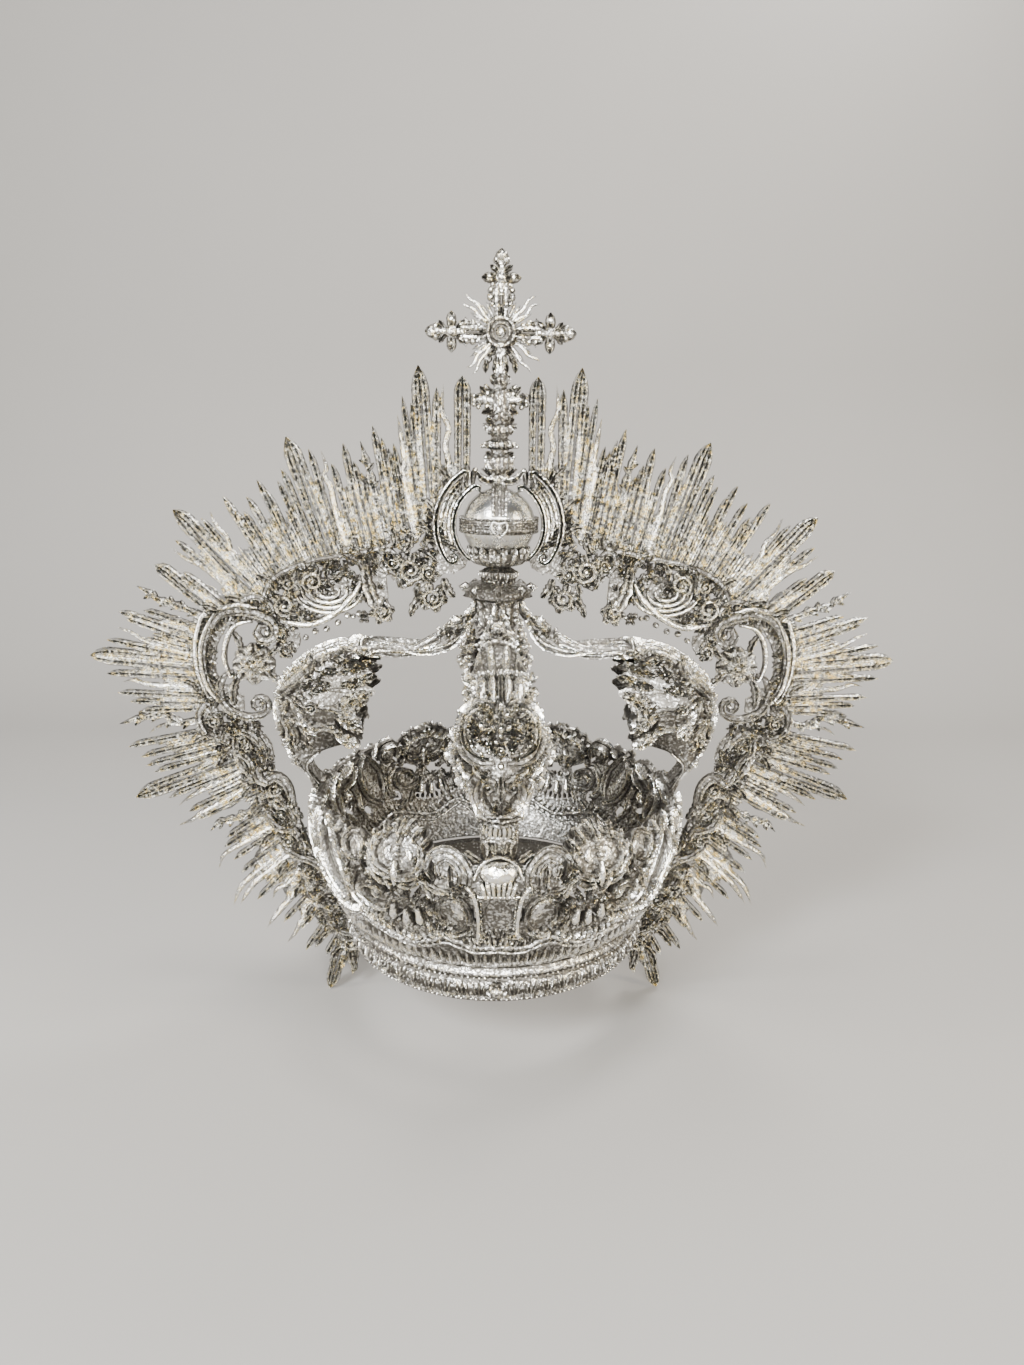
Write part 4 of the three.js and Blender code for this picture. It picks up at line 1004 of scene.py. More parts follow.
# Holes of one quarter: middle (degrees, height) and half sizes in millimetres.
BASKET_HOLES = (
    (26.5, 56.5, 13.0, 5.4), (24.0, 76, 5.4, 8.0), (33.2, 77, 5.2, 7.2), (19.4, 89, 5.2, 8.6),
    (38.4, 85, 5.4, 9.6), (18.6, 71, 4.2, 5.6), (41.5, 57, 5.6, 5.0), (48.6, 90, 5.2, 8.4),
    (46.8, 73, 4.6, 7.0), (61, 93, 6.0, 7.2), (73.3, 91, 5.2, 8.4), (66, 62, 5.6, 5.0),
    (84.5, 82, 5.4, 8.6), (82, 59, 5.4, 6.0), (57, 54, 5.6, 4.8), (74, 73, 4.2, 7.0), (5.6, 66, 3.0, 6.6),
    (64, 79, 4.2, 5.0),
)


def basket_wall(pile):
    """The pierced wall: a turned sheet whose kept part is under the crest and outside every hole."""
    for turn, mirror in QUARTERS:
        degrees, z = np.meshgrid(np.linspace(0, 90, 78), np.linspace(22.4, 113.6, 40), indexing="ij")
        s = np.radians(degrees) * BASKET_AROUND
        field = np.clip(crest(degrees) - z, -8, 8)
        for middle, height, wide, tall in BASKET_HOLES:
            away = np.hypot((s - math.radians(middle) * BASKET_AROUND) / wide, (z - height) / tall)
            field = np.minimum(field, (away - 1) * min(wide, tall))
        # The wall is painted half dark, as painted shade behind the chased work.
        pierced_sheet(pile, s, z, field, basket_place(turn, mirror), -size_of("basket_wall"), 0.5)


def at(degrees, z):
    """A point of the basket's design from its bearing and height."""
    return math.radians(degrees) * BASKET_AROUND, z


def design(*numbers):
    """Points of the basket's design from bearings and heights in turn."""
    return [at(*pair) for pair in paired(*numbers)]


GARLAND_SHAPE = tuple((u / 48, 0.55 + 0.45 * abs(math.sin(u * 0.62))) for u in range(49))


def draw_basket_quarter(b, whole, fine):
    """Scrollwork of a quarter: plate and shell, arched scroll, cartouche, pearls, palmette, lens panels."""
    # Plate and shell at the middle of the side, which the mirrored quarter completes.
    if whole:
        # The plate is painted darker, as a painted dark reflection.
        b.run(design(0, 57, 0, 78), 6, 7.4, 1.6, SLAB, crown=EVEN, tone=0.5)
        for k in range(-3, 4):
            rib = design(k * 1.1, 79.4, k * 1.3, 84, k * 1.5, 90 - 0.3 * k * k)
            b.run(rib, 7, 1.5, 6.6, ROUND, ((0, 0.7), (0.6, 1), (1, 0.8)))
        b.run(design(-5.6, 92, 5.6, 92), 13, 7.0, 7.2, ROUND, OVAL, crown=OVAL)
        b.wire(design(-6.2, 89, -4.4, 97, 0, 100.4, 4.4, 97, 6.2, 89), 22, 1.2, 4.6)
        b.wire(design(-5.4, 79, 5.4, 79), 8, 1.2, 4.2)
    b.bead_row(design(4.4, 57, 4.7, 78), 2.0, 0.9, 2.8)
    b.wire(design(5.6, 50, 5.4, 64, 6.4, 78, 8.4, 84), 14, 1.3, 3.6)
    b.bead_row(design(0.6, 56, 4.4, 56.4), 2.0, 0.9, 2.8)
    if fine:
        # Leaves over the cove, between the ring and the garland.
        foot = level(np.linspace(1, 89, 32) * math.radians(BASKET_AROUND), 25.0)
        b.leaves(foot, foot + [0, 13], 2.6, 3.4)
        b.leaves(foot + [2.6, 0], foot + [2.6, 8], 1.5, 2.8)
        b.wire(design(0, 24.4, 45, 24.4, 90, 24.4), 50, 1.2, 3.0, tone=0.7, rough=0.2)
    b.rosette(at(4.6, 52), 3.4, 4.0)
    b.leaf(at(2.0, 54), at(1.2, 40), 3.4, 3.8)
    b.leaf(at(7.6, 49), at(6.4, 38.5), 2.8, 3.4, lobes=2)
    # Arched scroll that rises to the crest beside the foot of the arch.
    b.scroll(design(8.6, 79, 7.4, 90, 10, 99, 14, 102.8, 18, 100, 19, 92, 17, 86), 2.2, 4.8, rows=34)
    b.scroll(design(10.6, 84, 10.4, 92, 13.6, 97.6, 16.4, 94, 15.8, 88), 1.5, 3.8, head=(2.0, 1.0))
    b.leaf(at(12.6, 82), at(13, 95), 2.2, 3.4, lobes=2)
    b.leaf(at(5, 98), at(9.6, 103), 2.4, 3.6, lobes=2)
    # Hollow cartouche beneath it.
    b.scroll(design(12.6, 52, 8.8, 56, 7.6, 64, 9.2, 73, 12.4, 76.4, 15.6, 73, 16.6, 64, 14.6, 57), 1.9, 4.6,
             tail=(2.4, 0.9), rows=40)
    b.run(design(10.2, 61, 11.2, 67, 12.6, 73), 9, 3.6, 1.0, ROUND, LEAF_SHAPE, tone=0.8)
    b.rosette(at(16.4, 58), 3.6, 4.4)
    b.rosette(at(18.6, 66), 3.0, 4.2, turn=1)
    b.leaf(at(17.6, 74), at(19.6, 84), 2.4, 3.6, lobes=2)
    b.scroll(design(13, 79.5, 17, 80.5, 20, 86, 22, 84), 1.6, 4.0, head=(1.8, 1.0))
    # Garland between the cove and the openings.
    for points in (
        design(0, 43, 7, 42, 12, 46, 16, 48, 21, 43.5, 27, 40, 33, 42, 39, 45, 45, 48),
        design(45, 48, 51, 44, 58, 41, 66, 43, 74, 46, 82, 43, 90, 42),
    ):
        b.run(points, 60, 1.7, 3.6, ROUND, GARLAND_SHAPE, tone=0.68, rough=0.3)
        low = np.array(points) - [0, 4.6]
        b.run(low, 60, 1.0, 2.6, ROUND, GARLAND_SHAPE, tone=0.7)
        b.frill(np.array(points) - [0, 1.5], -1, 4.6, 4.2, 1.4, 2.6, lean=0.2)
        b.frill(np.array(points) + [0, 1.0], 1, 4.4, 4.6, 1.5, 3.2, lean=0.6)
    # Pearls over the dark opening, under a row of little volutes.
    for bearing, z, lean in ((22.4, 61.5, -1.2), (26.2, 59.5, 0), (30.0, 61.5, 1.2)):
        s, t = at(bearing, z)
        b.run([(s, t + 5), (s + lean * 0.4, t), (s + lean, t - 5)], 8, 2.9, 5.6, ROUND,
              ((0, 0.35), (0.3, 0.6), (0.75, 1), (1, 0.5)))
    for bearing, z, radius in ((20.4, 70, 2.4), (23.6, 69, 2.6), (27.0, 70.5, 2.6), (30.6, 69, 2.6),
                               (22, 75, 2.0), (29.2, 76, 2.0)):
        b.rosette(at(bearing, z), radius, 4.4, turn=bearing)
    b.scroll(design(18.4, 52, 19.6, 58, 20.6, 65), 1.7, 4.0, tail=(2.2, 0.9))
    b.scroll(design(35.6, 54, 33.6, 59, 32.8, 65), 1.7, 4.0, tail=(2.2, 0.9))
    b.frill(design(19, 53.5, 26, 51, 34, 54), 1, 3.6, 3.6, 1.3, 3.0, lean=0.0)
    # Palmette: hollow middle, rolled leaves for its border, upright ovals beneath.
    for hand in (-1, 1):
        middle = 28.5

        def pal(*numbers):
            return [at(middle + hand * d, z) for d, z in paired(*numbers)]
        b.scroll(pal(1.4, 84, 6.0, 87, 8.0, 95, 6.6, 103, 2.6, 107.4, 0, 106.4), 2.2, 4.8, rows=30,
                 tail=(2.4, 0.9))
        b.scroll(pal(0.6, 80, 4.4, 80, 7.0, 84, 8.4, 90), 1.8, 4.4, head=(2.0, 1.0))
        for d, z, out, top in ((8.2, 88, 11.0, 92), (8.9, 94, 11.2, 99.5), (8.3, 100, 10.0, 106),
                               (5.9, 104.4, 7.4, 110.6), (2.6, 107, 3.4, 113)):
            b.leaf(pal(d - 1.4, z - 1.4)[0], pal(out - 0.6, top)[0], 2.7, 4.4, bend=0.12 * hand, lobes=2)
        b.run(pal(1.6, 92, 3.6, 96, 2.4, 101), 8, 2.6, 1.6, ROUND, LEAF_SHAPE, tone=0.8)
        b.leaf(pal(1.6, 76)[0], pal(3.4, 86)[0], 1.9, 4.0, lobes=0)
    b.leaf(at(28.5, 102), at(28.5, 113.6), 2.8, 4.8, lobes=2)
    b.run(design(28.5, 79, 28.5, 93), 9, 2.4, 5.4, ROUND, ((0, 0.4), (0.5, 1), (1, 0.3)))
    b.beads(design(28.5, 96.4, 28.5, 100), [1.8, 1.4], 4.0)
    # Great volute at the palmette's foot, and the hollow patch over it.
    b.scroll(design(30.8, 66, 33, 62.6, 37, 62, 40.6, 66, 40.8, 72, 37.6, 76, 34.6, 74.6), 2.5, 5.6,
             head=(3.4, 1.1), rows=36)
    b.scroll(design(43, 58, 45.6, 64, 45.2, 72, 42.6, 80, 40.6, 84), 2.0, 4.4, head=(2.2, 0.9),
             tail=(2.6, 1.0))
    b.scroll(design(40, 88, 39.4, 96, 42, 101.6, 46, 100.6, 47.6, 94, 45.6, 87, 42.4, 86), 1.9, 4.6, rows=32)
    b.run(design(42, 90, 43.4, 98), 7, 3.0, 0.9, ROUND, LEAF_SHAPE, tone=0.8)
    b.leaf(at(38.2, 79), at(36.8, 86), 2.2, 3.6, lobes=2)
    b.leaf(at(37.4, 54), at(41.6, 48.6), 2.6, 3.8, lobes=2)
    # Tall lens panel.
    b.scroll(design(48.2, 60, 46.8, 70, 48.4, 82, 52.6, 93, 57, 101), 2.1, 4.8, head=(2.6, 1.0), rows=34)
    b.scroll(design(50.4, 57, 55.4, 64, 58.4, 76, 59, 88, 57.4, 97), 2.1, 4.8, tail=(2.4, 0.9), rows=32)
    b.run(design(50.6, 66, 52.4, 76, 55.4, 86), 12, 3.4, 1.0, ROUND, LEAF_SHAPE, tone=0.8)
    b.leaf(at(52.4, 96), at(51, 104), 2.6, 4.2, lobes=2)
    b.leaf(at(57.4, 96), at(59.4, 104.4), 2.6, 4.2, lobes=2)
    # Side: shell, scrolls and a second hollow.
    b.fan(at(67, 86), at(67, 101), 90, 7, 4.4)
    b.scroll(design(61, 90, 63, 82, 68, 79, 72.4, 83, 73, 90), 1.9, 4.4, head=(2.4, 1.0), tail=(2.4, 1.0))
    b.rosette(at(67.4, 73), 5.0, 4.8)
    b.scroll(design(62, 60, 61, 68, 63, 75), 1.9, 4.2, head=(2.6, 1.0), tail=(2.6, 1.0))
    b.scroll(design(72, 56, 76.6, 62, 79, 74, 78.4, 86, 76, 96), 2.0, 4.6, head=(2.6, 1.0), tail=(2.4, 0.9),
             rows=32)
    b.scroll(design(73.6, 60, 72.4, 68, 74, 80, 75.6, 88), 1.7, 4.2, head=(2.0, 0.9))
    b.leaf(at(79, 94), at(79.4, 102), 2.8, 4.2, lobes=2)
    b.leaf(at(66, 52), at(70, 62), 2.8, 4.0)
    b.leaf(at(57, 48), at(61, 58), 2.8, 4.0)
    # Beside the arches that stand left and right.
    b.scroll(design(83.4, 54, 84.4, 64, 87.6, 70, 90, 69), 1.9, 4.4, tail=(2.4, 1.0))
    b.scroll(design(82, 98, 84, 90, 88, 86, 90, 86), 2.0, 4.6, tail=(2.4, 1.0))
    b.rosette(at(88, 78), 4.2, 4.8)
    b.leaf(at(86.4, 50), at(88.4, 60), 2.6, 3.8, lobes=2)
    if not fine:
        return
    for path, spread, count in (
        (design(2, 50, 14, 50, 24, 46, 34, 49, 46, 54), 3.0, 56),
        (design(50, 50, 62, 47, 74, 51, 90, 49), 3.4, 56),
        (design(6, 82, 12, 79, 18, 72), 3.0, 20),
        (design(19, 80, 22, 90, 21, 99), 2.4, 20),
        (design(36, 80, 37.5, 92, 36, 100), 2.4, 20),
        (design(43, 54, 46, 76, 49, 96), 2.6, 26),
        (design(60, 56, 64, 66, 61, 80, 62, 96), 3.4, 36),
        (design(70, 66, 70, 78, 74, 94), 3.0, 26),
        (design(80, 56, 82, 76, 84, 96), 3.4, 34),
    ):
        b.curls(path, spread, int(count * 0.7), 2.1, 3.6)


def draw_basket(pile, inside):
    """The scrollwork of all four quarters, on the outside or, with half the detail, on the inside."""
    for k, (turn, mirror) in enumerate(QUARTERS):
        bench = Bench(pile, basket_place(turn, mirror, inside), ground=-0.5, seed=20 + k, coarse=inside)
        draw_basket_quarter(bench, whole=mirror == 1, fine=not inside)


def basket_rim(pile):
    """A bead along the crest: a small round section carried along the basket's edge."""
    degrees, wall = np.linspace(0, 90, 120), size_of("basket_wall")
    for turn, mirror in QUARTERS:
        bench = Bench(pile, basket_place(turn, mirror), ground=-wall - 0.2)
        path = np.stack([np.radians(degrees) * BASKET_AROUND, crest(degrees) - 0.8], -1)
        bench.strip(even_path(path, 110), 0.9, wall + 0.8, ROUND, EVEN, tone=0.62)


# ---------------------------------------------------------------- the ring
RING_RADIUS = 91.5
RING_INNER = 86.5
RING_PROFILE = (
    (0, 0), (1.5, 1.5), (1.2, 3.5), (3, 7), (3.6, 10), (2.6, 13.5), (1.2, 15), (3, 17.5), (3, 19.5),
    (1.6, 22),
)


def ring_place(s, t, h):
    """Ring band: s runs round at the ring's radius, t is height and h stands off the mouldings."""
    offset, z = np.array(RING_PROFILE, float).T
    return swung(RING_RADIUS + np.interp(t, z, offset) + h, s / RING_RADIUS, t)


def draw_ring(pile):
    """The ring: a turned section, two rows of beads, and gadroons and flowers on the wide band."""
    outer = smooth_path([(RING_RADIUS + offset, z) for offset, z in RING_PROFILE], 30)
    inner = [(RING_INNER, 21.6), (RING_INNER, 11), (RING_INNER, 0.3)]
    section = np.concatenate([outer, inner])
    # Painted light and shade in bands up the section, darker and brighter in turn; the inner face is painted
    # half dark.
    relief = np.concatenate([0.1 + 0.85 * np.abs(np.sin(np.linspace(0, 9, 30))), [0.5, 0.5, 0.5]])
    add_ring(pile, turned_grid(section, 180), relief[:, None])
    b = Bench(pile, ring_place, ground=-0.4)
    around = 2 * math.pi * RING_RADIUS
    for z, count, radius, height in ((2.2, 200, 1.1, 1.5), (16.2, 180, 1.3, 1.9)):
        s = evenly(around, count)
        b.beads(level(s, z), radius, height, 6)
    count = 60
    s = evenly(around, count)
    base = level(s, 5.0)
    for lean in (-3.4, 3.4):
        b.leaves(base + [lean * 0.4, 0], base + [lean, 8.6], 1.7, 2.0)
    b.leaves(base, base + [0, 9.4], 1.5, 2.6)
    b.beads(base + [around / count / 2, 1.6], 1.4, 1.8, 6)
    b.beads(base + [around / count / 2, 7.2], 1.0, 1.6, 6)
    for bearing in (0, 90, 180, 270, 45, 135, 225, 315):
        b.flower((math.radians(bearing) * RING_RADIUS, 8.6), 5.6 if bearing % 90 == 0 else 4.4, 2.9)
    b.beads([(0, 7.8)], 4.6, 3.9, 12)


# ---------------------------------------------------------------- the arches
# Stations from the foot to the hub: radius, height, half width, the folded edge and the hem of the fringe.
ARCH_STATIONS = (
    (116.4, 98.4, 11.5, 110, 98.9, 108.5, 98.9), (122, 105, 11.5, 114, 105.5, 112, 105.6),
    (129, 113, 12.2, 118, 114, 114, 114), (135, 122, 12.6, 110, 122, 104, 121.5),
    (139, 134, 15, 102, 130, 87, 127), (140.3, 147, 22.5, 99, 143, 80, 137),
    (139.4, 158, 27, 100, 153, 81, 149), (134, 170, 26, 101, 163, 71, 160),
    (123.5, 181, 22, 99, 172, 69, 171), (109, 189.5, 19, 94, 179.5, 74, 180),
    (93, 194.5, 19, 86, 185, 82, 184), (78, 195, 18, 76, 187.5, 75, 186.3),
    (64, 192, 16, 63.5, 187.5, 63.3, 186), (55, 192, 15.5, 53, 186.5, 52, 185.2),
    (47, 196, 15.5, 44, 185.5, 43, 184.3), (38, 201.5, 14.5, 35, 186.5, 34, 185.4),
    (29, 206.5, 12, 26, 190, 25.4, 189), (21.5, 210.5, 8.5, 19.6, 197, 19.4, 196),
    (16.4, 216.5, 5, 15.6, 208, 15.5, 207),
)
ARCH_SECTION = ((0, 0), (0.62, 0.14), (1, 0.52), (0.95, 1), (0.72, 2))
ARCH_SINK = 3.8             # the skin lies this far inside the outline of its ornament
FRINGE_LEAF = 17.0          # distance between the lobes of the fringe
FLANK_START, FLANK_END = 46.0, 128.0
FLANK_PITCH = 15.5          # distance between the flowers on a flank
ARCH_TURNS = {"right": 0, "back": 90, "left": 180, "front": 270}


class ArchSkin:
    """The arch's folded skin as a grid: rows evenly up the crown line, columns evenly down each side."""

    def __init__(self, rows=170, columns=26):
        table = smooth_path(ARCH_STATIONS, 400)
        crown = table[:, :2]
        length = np.concatenate([[0], np.cumsum(np.linalg.norm(np.diff(crown, axis=0), axis=1))])
        self.length = length[-1]
        s = np.linspace(0, self.length, rows)
        table = np.stack([np.interp(s, length, table[:, k]) for k in range(7)], -1)
        across, down = np.array(ARCH_SECTION, float).T
        section = smooth_path(np.stack([across, down], -1), 60)
        across, down = section.T
        to_edge, to_lip = np.minimum(down, 1), np.maximum(down - 1, 0)
        radius, z, half, edge_r, edge_z, lip_r, lip_z = (table[:, k, None] for k in range(7))
        r = radius + (edge_r - radius) * to_edge
        r = r + (lip_r - r) * to_lip
        h = z + (edge_z - z) * to_edge
        h = h + (lip_z - h) * to_lip
        side = np.stack(np.broadcast_arrays(r, half * across, h), -1)
        step = np.linalg.norm(np.diff(side, axis=1), axis=-1)
        drop = np.concatenate([np.zeros((rows, 1)), np.cumsum(step, axis=1)], 1)
        self.reach = drop[:, -1]
        share = np.linspace(0, 1, columns)
        grid = np.zeros((rows, columns, 3))
        for i in range(rows):
            for k in range(3):
                grid[i, :, k] = np.interp(share * self.reach[i], drop[i], side[i, :, k])
        self.grid = grid
        self.s = s
        along = np.gradient(grid, axis=0)
        full = np.concatenate([grid[:, :0:-1] * [1, -1, 1], grid], 1)
        over = np.gradient(full, axis=1)[:, columns - 1:]
        normal = np.cross(over, along)
        self.normal = normal / (np.linalg.norm(normal, axis=-1, keepdims=True) + 1e-9)
        if self.normal[rows // 3, 0, 0] < 0:
            self.normal *= -1
        self.edge = np.array([np.interp(1.0, down, drop[i]) for i in range(rows)])

    def place(self, turn):
        """Placing function for the arch turned about the crown's axis: s up the crown line, t down a side."""
        cos, sin = math.cos(math.radians(turn)), math.sin(math.radians(turn))
        rows, columns = self.grid.shape[:2]

        def place(s, t, h):
            s, t, h = np.broadcast_arrays(s, t, h)
            row = np.clip(np.asarray(s) / self.length, -0.02, 1.02) * (rows - 1)
            reach = np.interp(row, np.arange(rows), self.reach)
            column = np.clip(np.abs(t) / reach, 0, 1.2) * (columns - 1)
            i = np.clip(row.astype(int), 0, rows - 2)
            j = np.clip(column.astype(int), 0, columns - 2)
            a, b = (row - i)[..., None], (column - j)[..., None]

            def blend(field):
                low = field[i, j] * (1 - b) + field[i, j + 1] * b
                high = field[i + 1, j] * (1 - b) + field[i + 1, j + 1] * b
                return low * (1 - a) + high * a
            point = blend(self.grid) + blend(self.normal) * (h - ARCH_SINK)[..., None]
            y = point[..., 1] * np.where(t < 0, -1, 1)
            return np.stack([point[..., 0] * cos - y * sin, point[..., 0] * sin + y * cos, point[..., 2]], -1)
        return place


ARCH_HOLES = (
    (76, 12, 3.4, 2.6), (97, 13, 3.4, 2.6), (50, 33, 3.4, 3.0), (84, 42, 4.2, 3.2), (112, 41, 4.0, 3.2),
    (128, 38, 3.0, 3.0),
)


def arch_skin(pile, skin, place):
    """The folded sheet, kept inside a scalloped hem and outside the openings in its flanks."""
    s, share = np.meshgrid(np.linspace(0, skin.length, 84), np.linspace(-1, 1, 31), indexing="ij")
    reach, edge = np.interp(s, skin.s, skin.reach), np.interp(s, skin.s, skin.edge)
    t = share * reach
    lobe = np.abs(np.cos(np.pi * s / FRINGE_LEAF)) ** 0.6
    free = np.clip(reach - edge - 2, 0, 100)
    field = edge + free * (0.35 + 0.6 * lobe) + 1.5 * (free < 0.1) - np.abs(t)
    for at_s, at_t, long, wide in ARCH_HOLES:
        away = np.hypot((s - at_s) / long, (np.abs(t) - at_t) / wide)
        field = np.minimum(field, (away - 1) * wide)
    field = np.where(free > 0.1, field, np.maximum(field, 0.5))
    # The sheet is painted darker, as painted shade behind the chased work.
    pierced_sheet(pile, s, t, field, place, -size_of("arch_wall"), 0.45)


def draw_arch_side(b, skin, hand):
    """One side of an arch: what stands off its crown line, its folded edge and its flank."""
    m = np.array([1, hand])

    def one(s, d):
        return np.array([s, d * hand], float)

    def pt(*numbers):
        return [one(*pair) for pair in paired(*numbers)]
    edge = np.stack([skin.s, skin.edge], -1)[::6] * m
    b.wire(edge[edge[:, 0] < 36], 16, 1.4, 3.0, rough=0.12, tone=0.7)
    top = edge[edge[:, 0] > 138]
    b.wire(top, 44, 1.7, 3.2, rough=0.1)
    b.wire(top * [1, 0.84], 40, 1.0, 2.4)
    # Foot: plate between the basket's scrolls, with a flared collar.
    b.wire(pt(0, 7.5, 10, 6.6, 17, 8.6, 20, 11), 10, 1.3, 3.0)
    b.leaf(one(2, 2.6), one(17, 3.6), 2.4, 2.4, lobes=2)
    # Mouldings and the U-shaped scroll over the cup.
    b.scroll(pt(42, 2, 44, 8, 50, 12, 57, 11), 2.5, 5.4, head=(4.4, 1.25))
    b.scroll(pt(41, 14, 47, 18, 54, 18), 2.0, 4.4, head=(3.0, 1.1), tail=(2.4, 1.0))
    b.rosette(one(46, 3.4), 2.6, 4.8)
    b.rosette(one(61, 9), 3.2, 4.8)
    b.scroll(pt(38, 18, 46, 23, 55, 22), 2.0, 4.2, head=(2.8, 1.0), tail=(2.6, 1.0))
    b.leaf(one(60, 18), one(71, 25), 3.0, 4.4, bend=0.12 * hand)
    b.leaf(one(61, 6), one(68, 15), 2.4, 4.4, bend=0.12 * hand, lobes=2)
    # Great cartouche with its rolled rim and hooked ears.
    b.scroll(pt(69, 4, 70, 13, 76, 21, 87, 24, 98, 21, 105, 13, 103, 6), 2.9, 5.8, head=(3.0, 1.0), rows=44)
    b.scroll(pt(73, 6, 75, 14, 82, 18.6, 92, 18.6, 99, 14, 100, 8), 1.5, 4.4, head=(1.8, 0.9),
             tail=(1.8, 0.9), rows=36)
    b.scroll(pt(74, 25, 72, 30, 68, 31), 1.8, 4.2, head=(2.4, 1.0))
    b.leaf(one(86, 26), one(92, 31.5), 2.8, 4.2, lobes=2)
    b.rosette(one(79, 7), 3.2, 4.6)
    b.rosette(one(92, 7), 3.2, 4.6, turn=1)
    b.leaf(one(84, 10), one(90, 15), 2.0, 4.0, lobes=2)
    b.scroll(pt(86, 2, 87, 7, 84, 11), 1.2, 4.2, head=(1.6, 1.0))
    b.leaf(one(94, 2), one(101, 5), 1.8, 4.2, lobes=2)
    for d, spot, radius in (
        (5.5, 76, 2.6), (6, 84.5, 3.0), (5.6, 97.5, 2.6), (13.6, 84, 3.2), (13.8, 91, 2.8), (11, 102, 2.2),
        (18.5, 78, 2.6), (20.6, 95, 2.8), (9, 71.5, 2.2),
    ):
        b.rosette(one(spot, d), radius, 5.0, turn=d)
    b.bead_row(pt(74, 10, 78, 15.4, 86, 17.2, 94, 16, 99, 11), 2.6, 1.1, 5.0)
    for spot, d, radius in ((80, 2.6, 1.9), (88, 4.2, 2.2), (95, 3.2, 1.9), (88.5, 10.2, 2.0),
                            (81, 11.6, 1.7), (96, 11.4, 1.7)):
        b.beads(pt(spot, d), radius, 5.4)
    # Smooth rolls with hooks beside them, under a scalloped moulding.
    for points, half in ((pt(105, 3.6, 116, 4.4, 130, 4.2), 2.6), (pt(105, 10.5, 116, 11, 130, 10.4), 3.8)):
        b.run(points, 12, half, 4.6, ROUND, ((0, 0.35), (0.25, 0.9), (0.7, 1), (1, 0.55)))
    b.scroll(pt(106, 18, 112, 17, 118, 19, 122, 23), 2.3, 4.8, head=(3.2, 1.1))
    b.scroll(pt(126, 15, 130, 18, 136, 18), 2.0, 4.6, head=(2.8, 1.0), tail=(2.2, 0.9))
    for k in range(4):
        b.leaf(one(137, 2.4 + 4.6 * k), one(130, 2.2 + 4.4 * k), 2.4, 5.0, lobes=2)
    b.bead_row(pt(138.6, 0.8, 138.6, 17.6), 2.4, 1.1, 3.8)
    # Smooth flutes over the top.
    for share, half in ((0.22, 2.6), (0.66, 3.4)):
        spots = np.linspace(142, 186, 9)
        reach = np.interp(spots, skin.s, skin.edge)
        b.run(np.stack([spots, reach * share * hand], -1), 26, half, 2.4, ROUND,
              ((0, 0.2), (0.12, 1), (0.94, 1), (1, 0.6)))
    # Leaf panel beside the hub.
    b.scroll(pt(192, 3, 196, 9, 204, 11, 211, 7, 209, 3), 1.9, 4.4, head=(1.8, 1.0))
    b.leaf(one(208, 4), one(226, 8), 2.8, 4.2, bend=0.1 * hand)
    b.leaf(one(197, 12), one(211, 15), 2.4, 4.0, bend=0.1 * hand)
    b.rosette(one(195, 14), 2.6, 4.0)
    b.bead_row(pt(188.5, 1, 188.5, 15), 2.3, 1.0, 3.6)
    # Flank: rolled flowers that fill the fringe's lobes, stretched where the arch's inner side runs short,
    # with a hooked scroll between two of them.
    spot = FLANK_START
    while spot < FLANK_END:
        near, far = np.interp(spot, skin.s, skin.edge), np.interp(spot, skin.s, skin.reach)
        size = far - near
        middle = near + 0.5 * size
        ends = b.place(np.array([spot - 4, spot + 4]), np.full(2, middle), np.zeros(2))
        stretch = float(np.clip(8 / np.linalg.norm(ends[1] - ends[0]), 1, 2))

        def stretched(s, t, h, spot=spot, stretch=stretch):
            return b.place(spot + (s - spot) * stretch, t, h)
        lump = Bench(b.pile, stretched, b.ground)
        lump.flower(one(spot, middle), min(9.0, size * 0.42), min(4.6, 1 + size * 0.22), petals=7, turn=spot)
        lump.rosette(one(spot, middle), min(5.6, size * 0.28), min(6.6, 1.6 + size * 0.3), turn=spot)
        lump.rosette(one(spot + 7, near * 0.78), 5.4, 5.4, turn=spot)
        lump.scroll(pt(spot + 7.5, near - 7, spot + 9, near - 1, spot + 7.5, near + 5), 2.2, 5.4,
                    head=(3.0, 1.2))
        spot += FLANK_PITCH * stretch
    line = np.stack([skin.s, skin.edge * 0.68], -1)[(skin.s > 42) & (skin.s < 132)] * m
    b.frill(line, -hand, 6.2, 7.0, 2.9, 3.0, lean=0.9)
    for path, spread, count, size in (
        (pt(21, 9, 34, 12, 46, 20, 60, 22), 2.6, 14, 1.9),
        (pt(64, 8, 66, 20, 72, 28), 3.0, 14, 2.0),
        (pt(74, 30, 90, 33, 108, 28, 120, 24), 3.4, 18, 2.3),
        (pt(76, 4, 88, 10, 98, 6), 3.4, 12, 1.8),
        (pt(107, 6, 118, 13), 3.0, 10, 1.8),
        (pt(36, 26, 60, 34, 90, 38, 120, 36, 142, 30), 4.0, 18, 2.4),
        (pt(194, 8, 206, 13, 222, 9), 2.6, 16, 1.7),
    ):
        b.curls(path, spread, count, size, 4.0)
        b.sprigs(path, spread, count // 2, size * 1.8, 3.6)


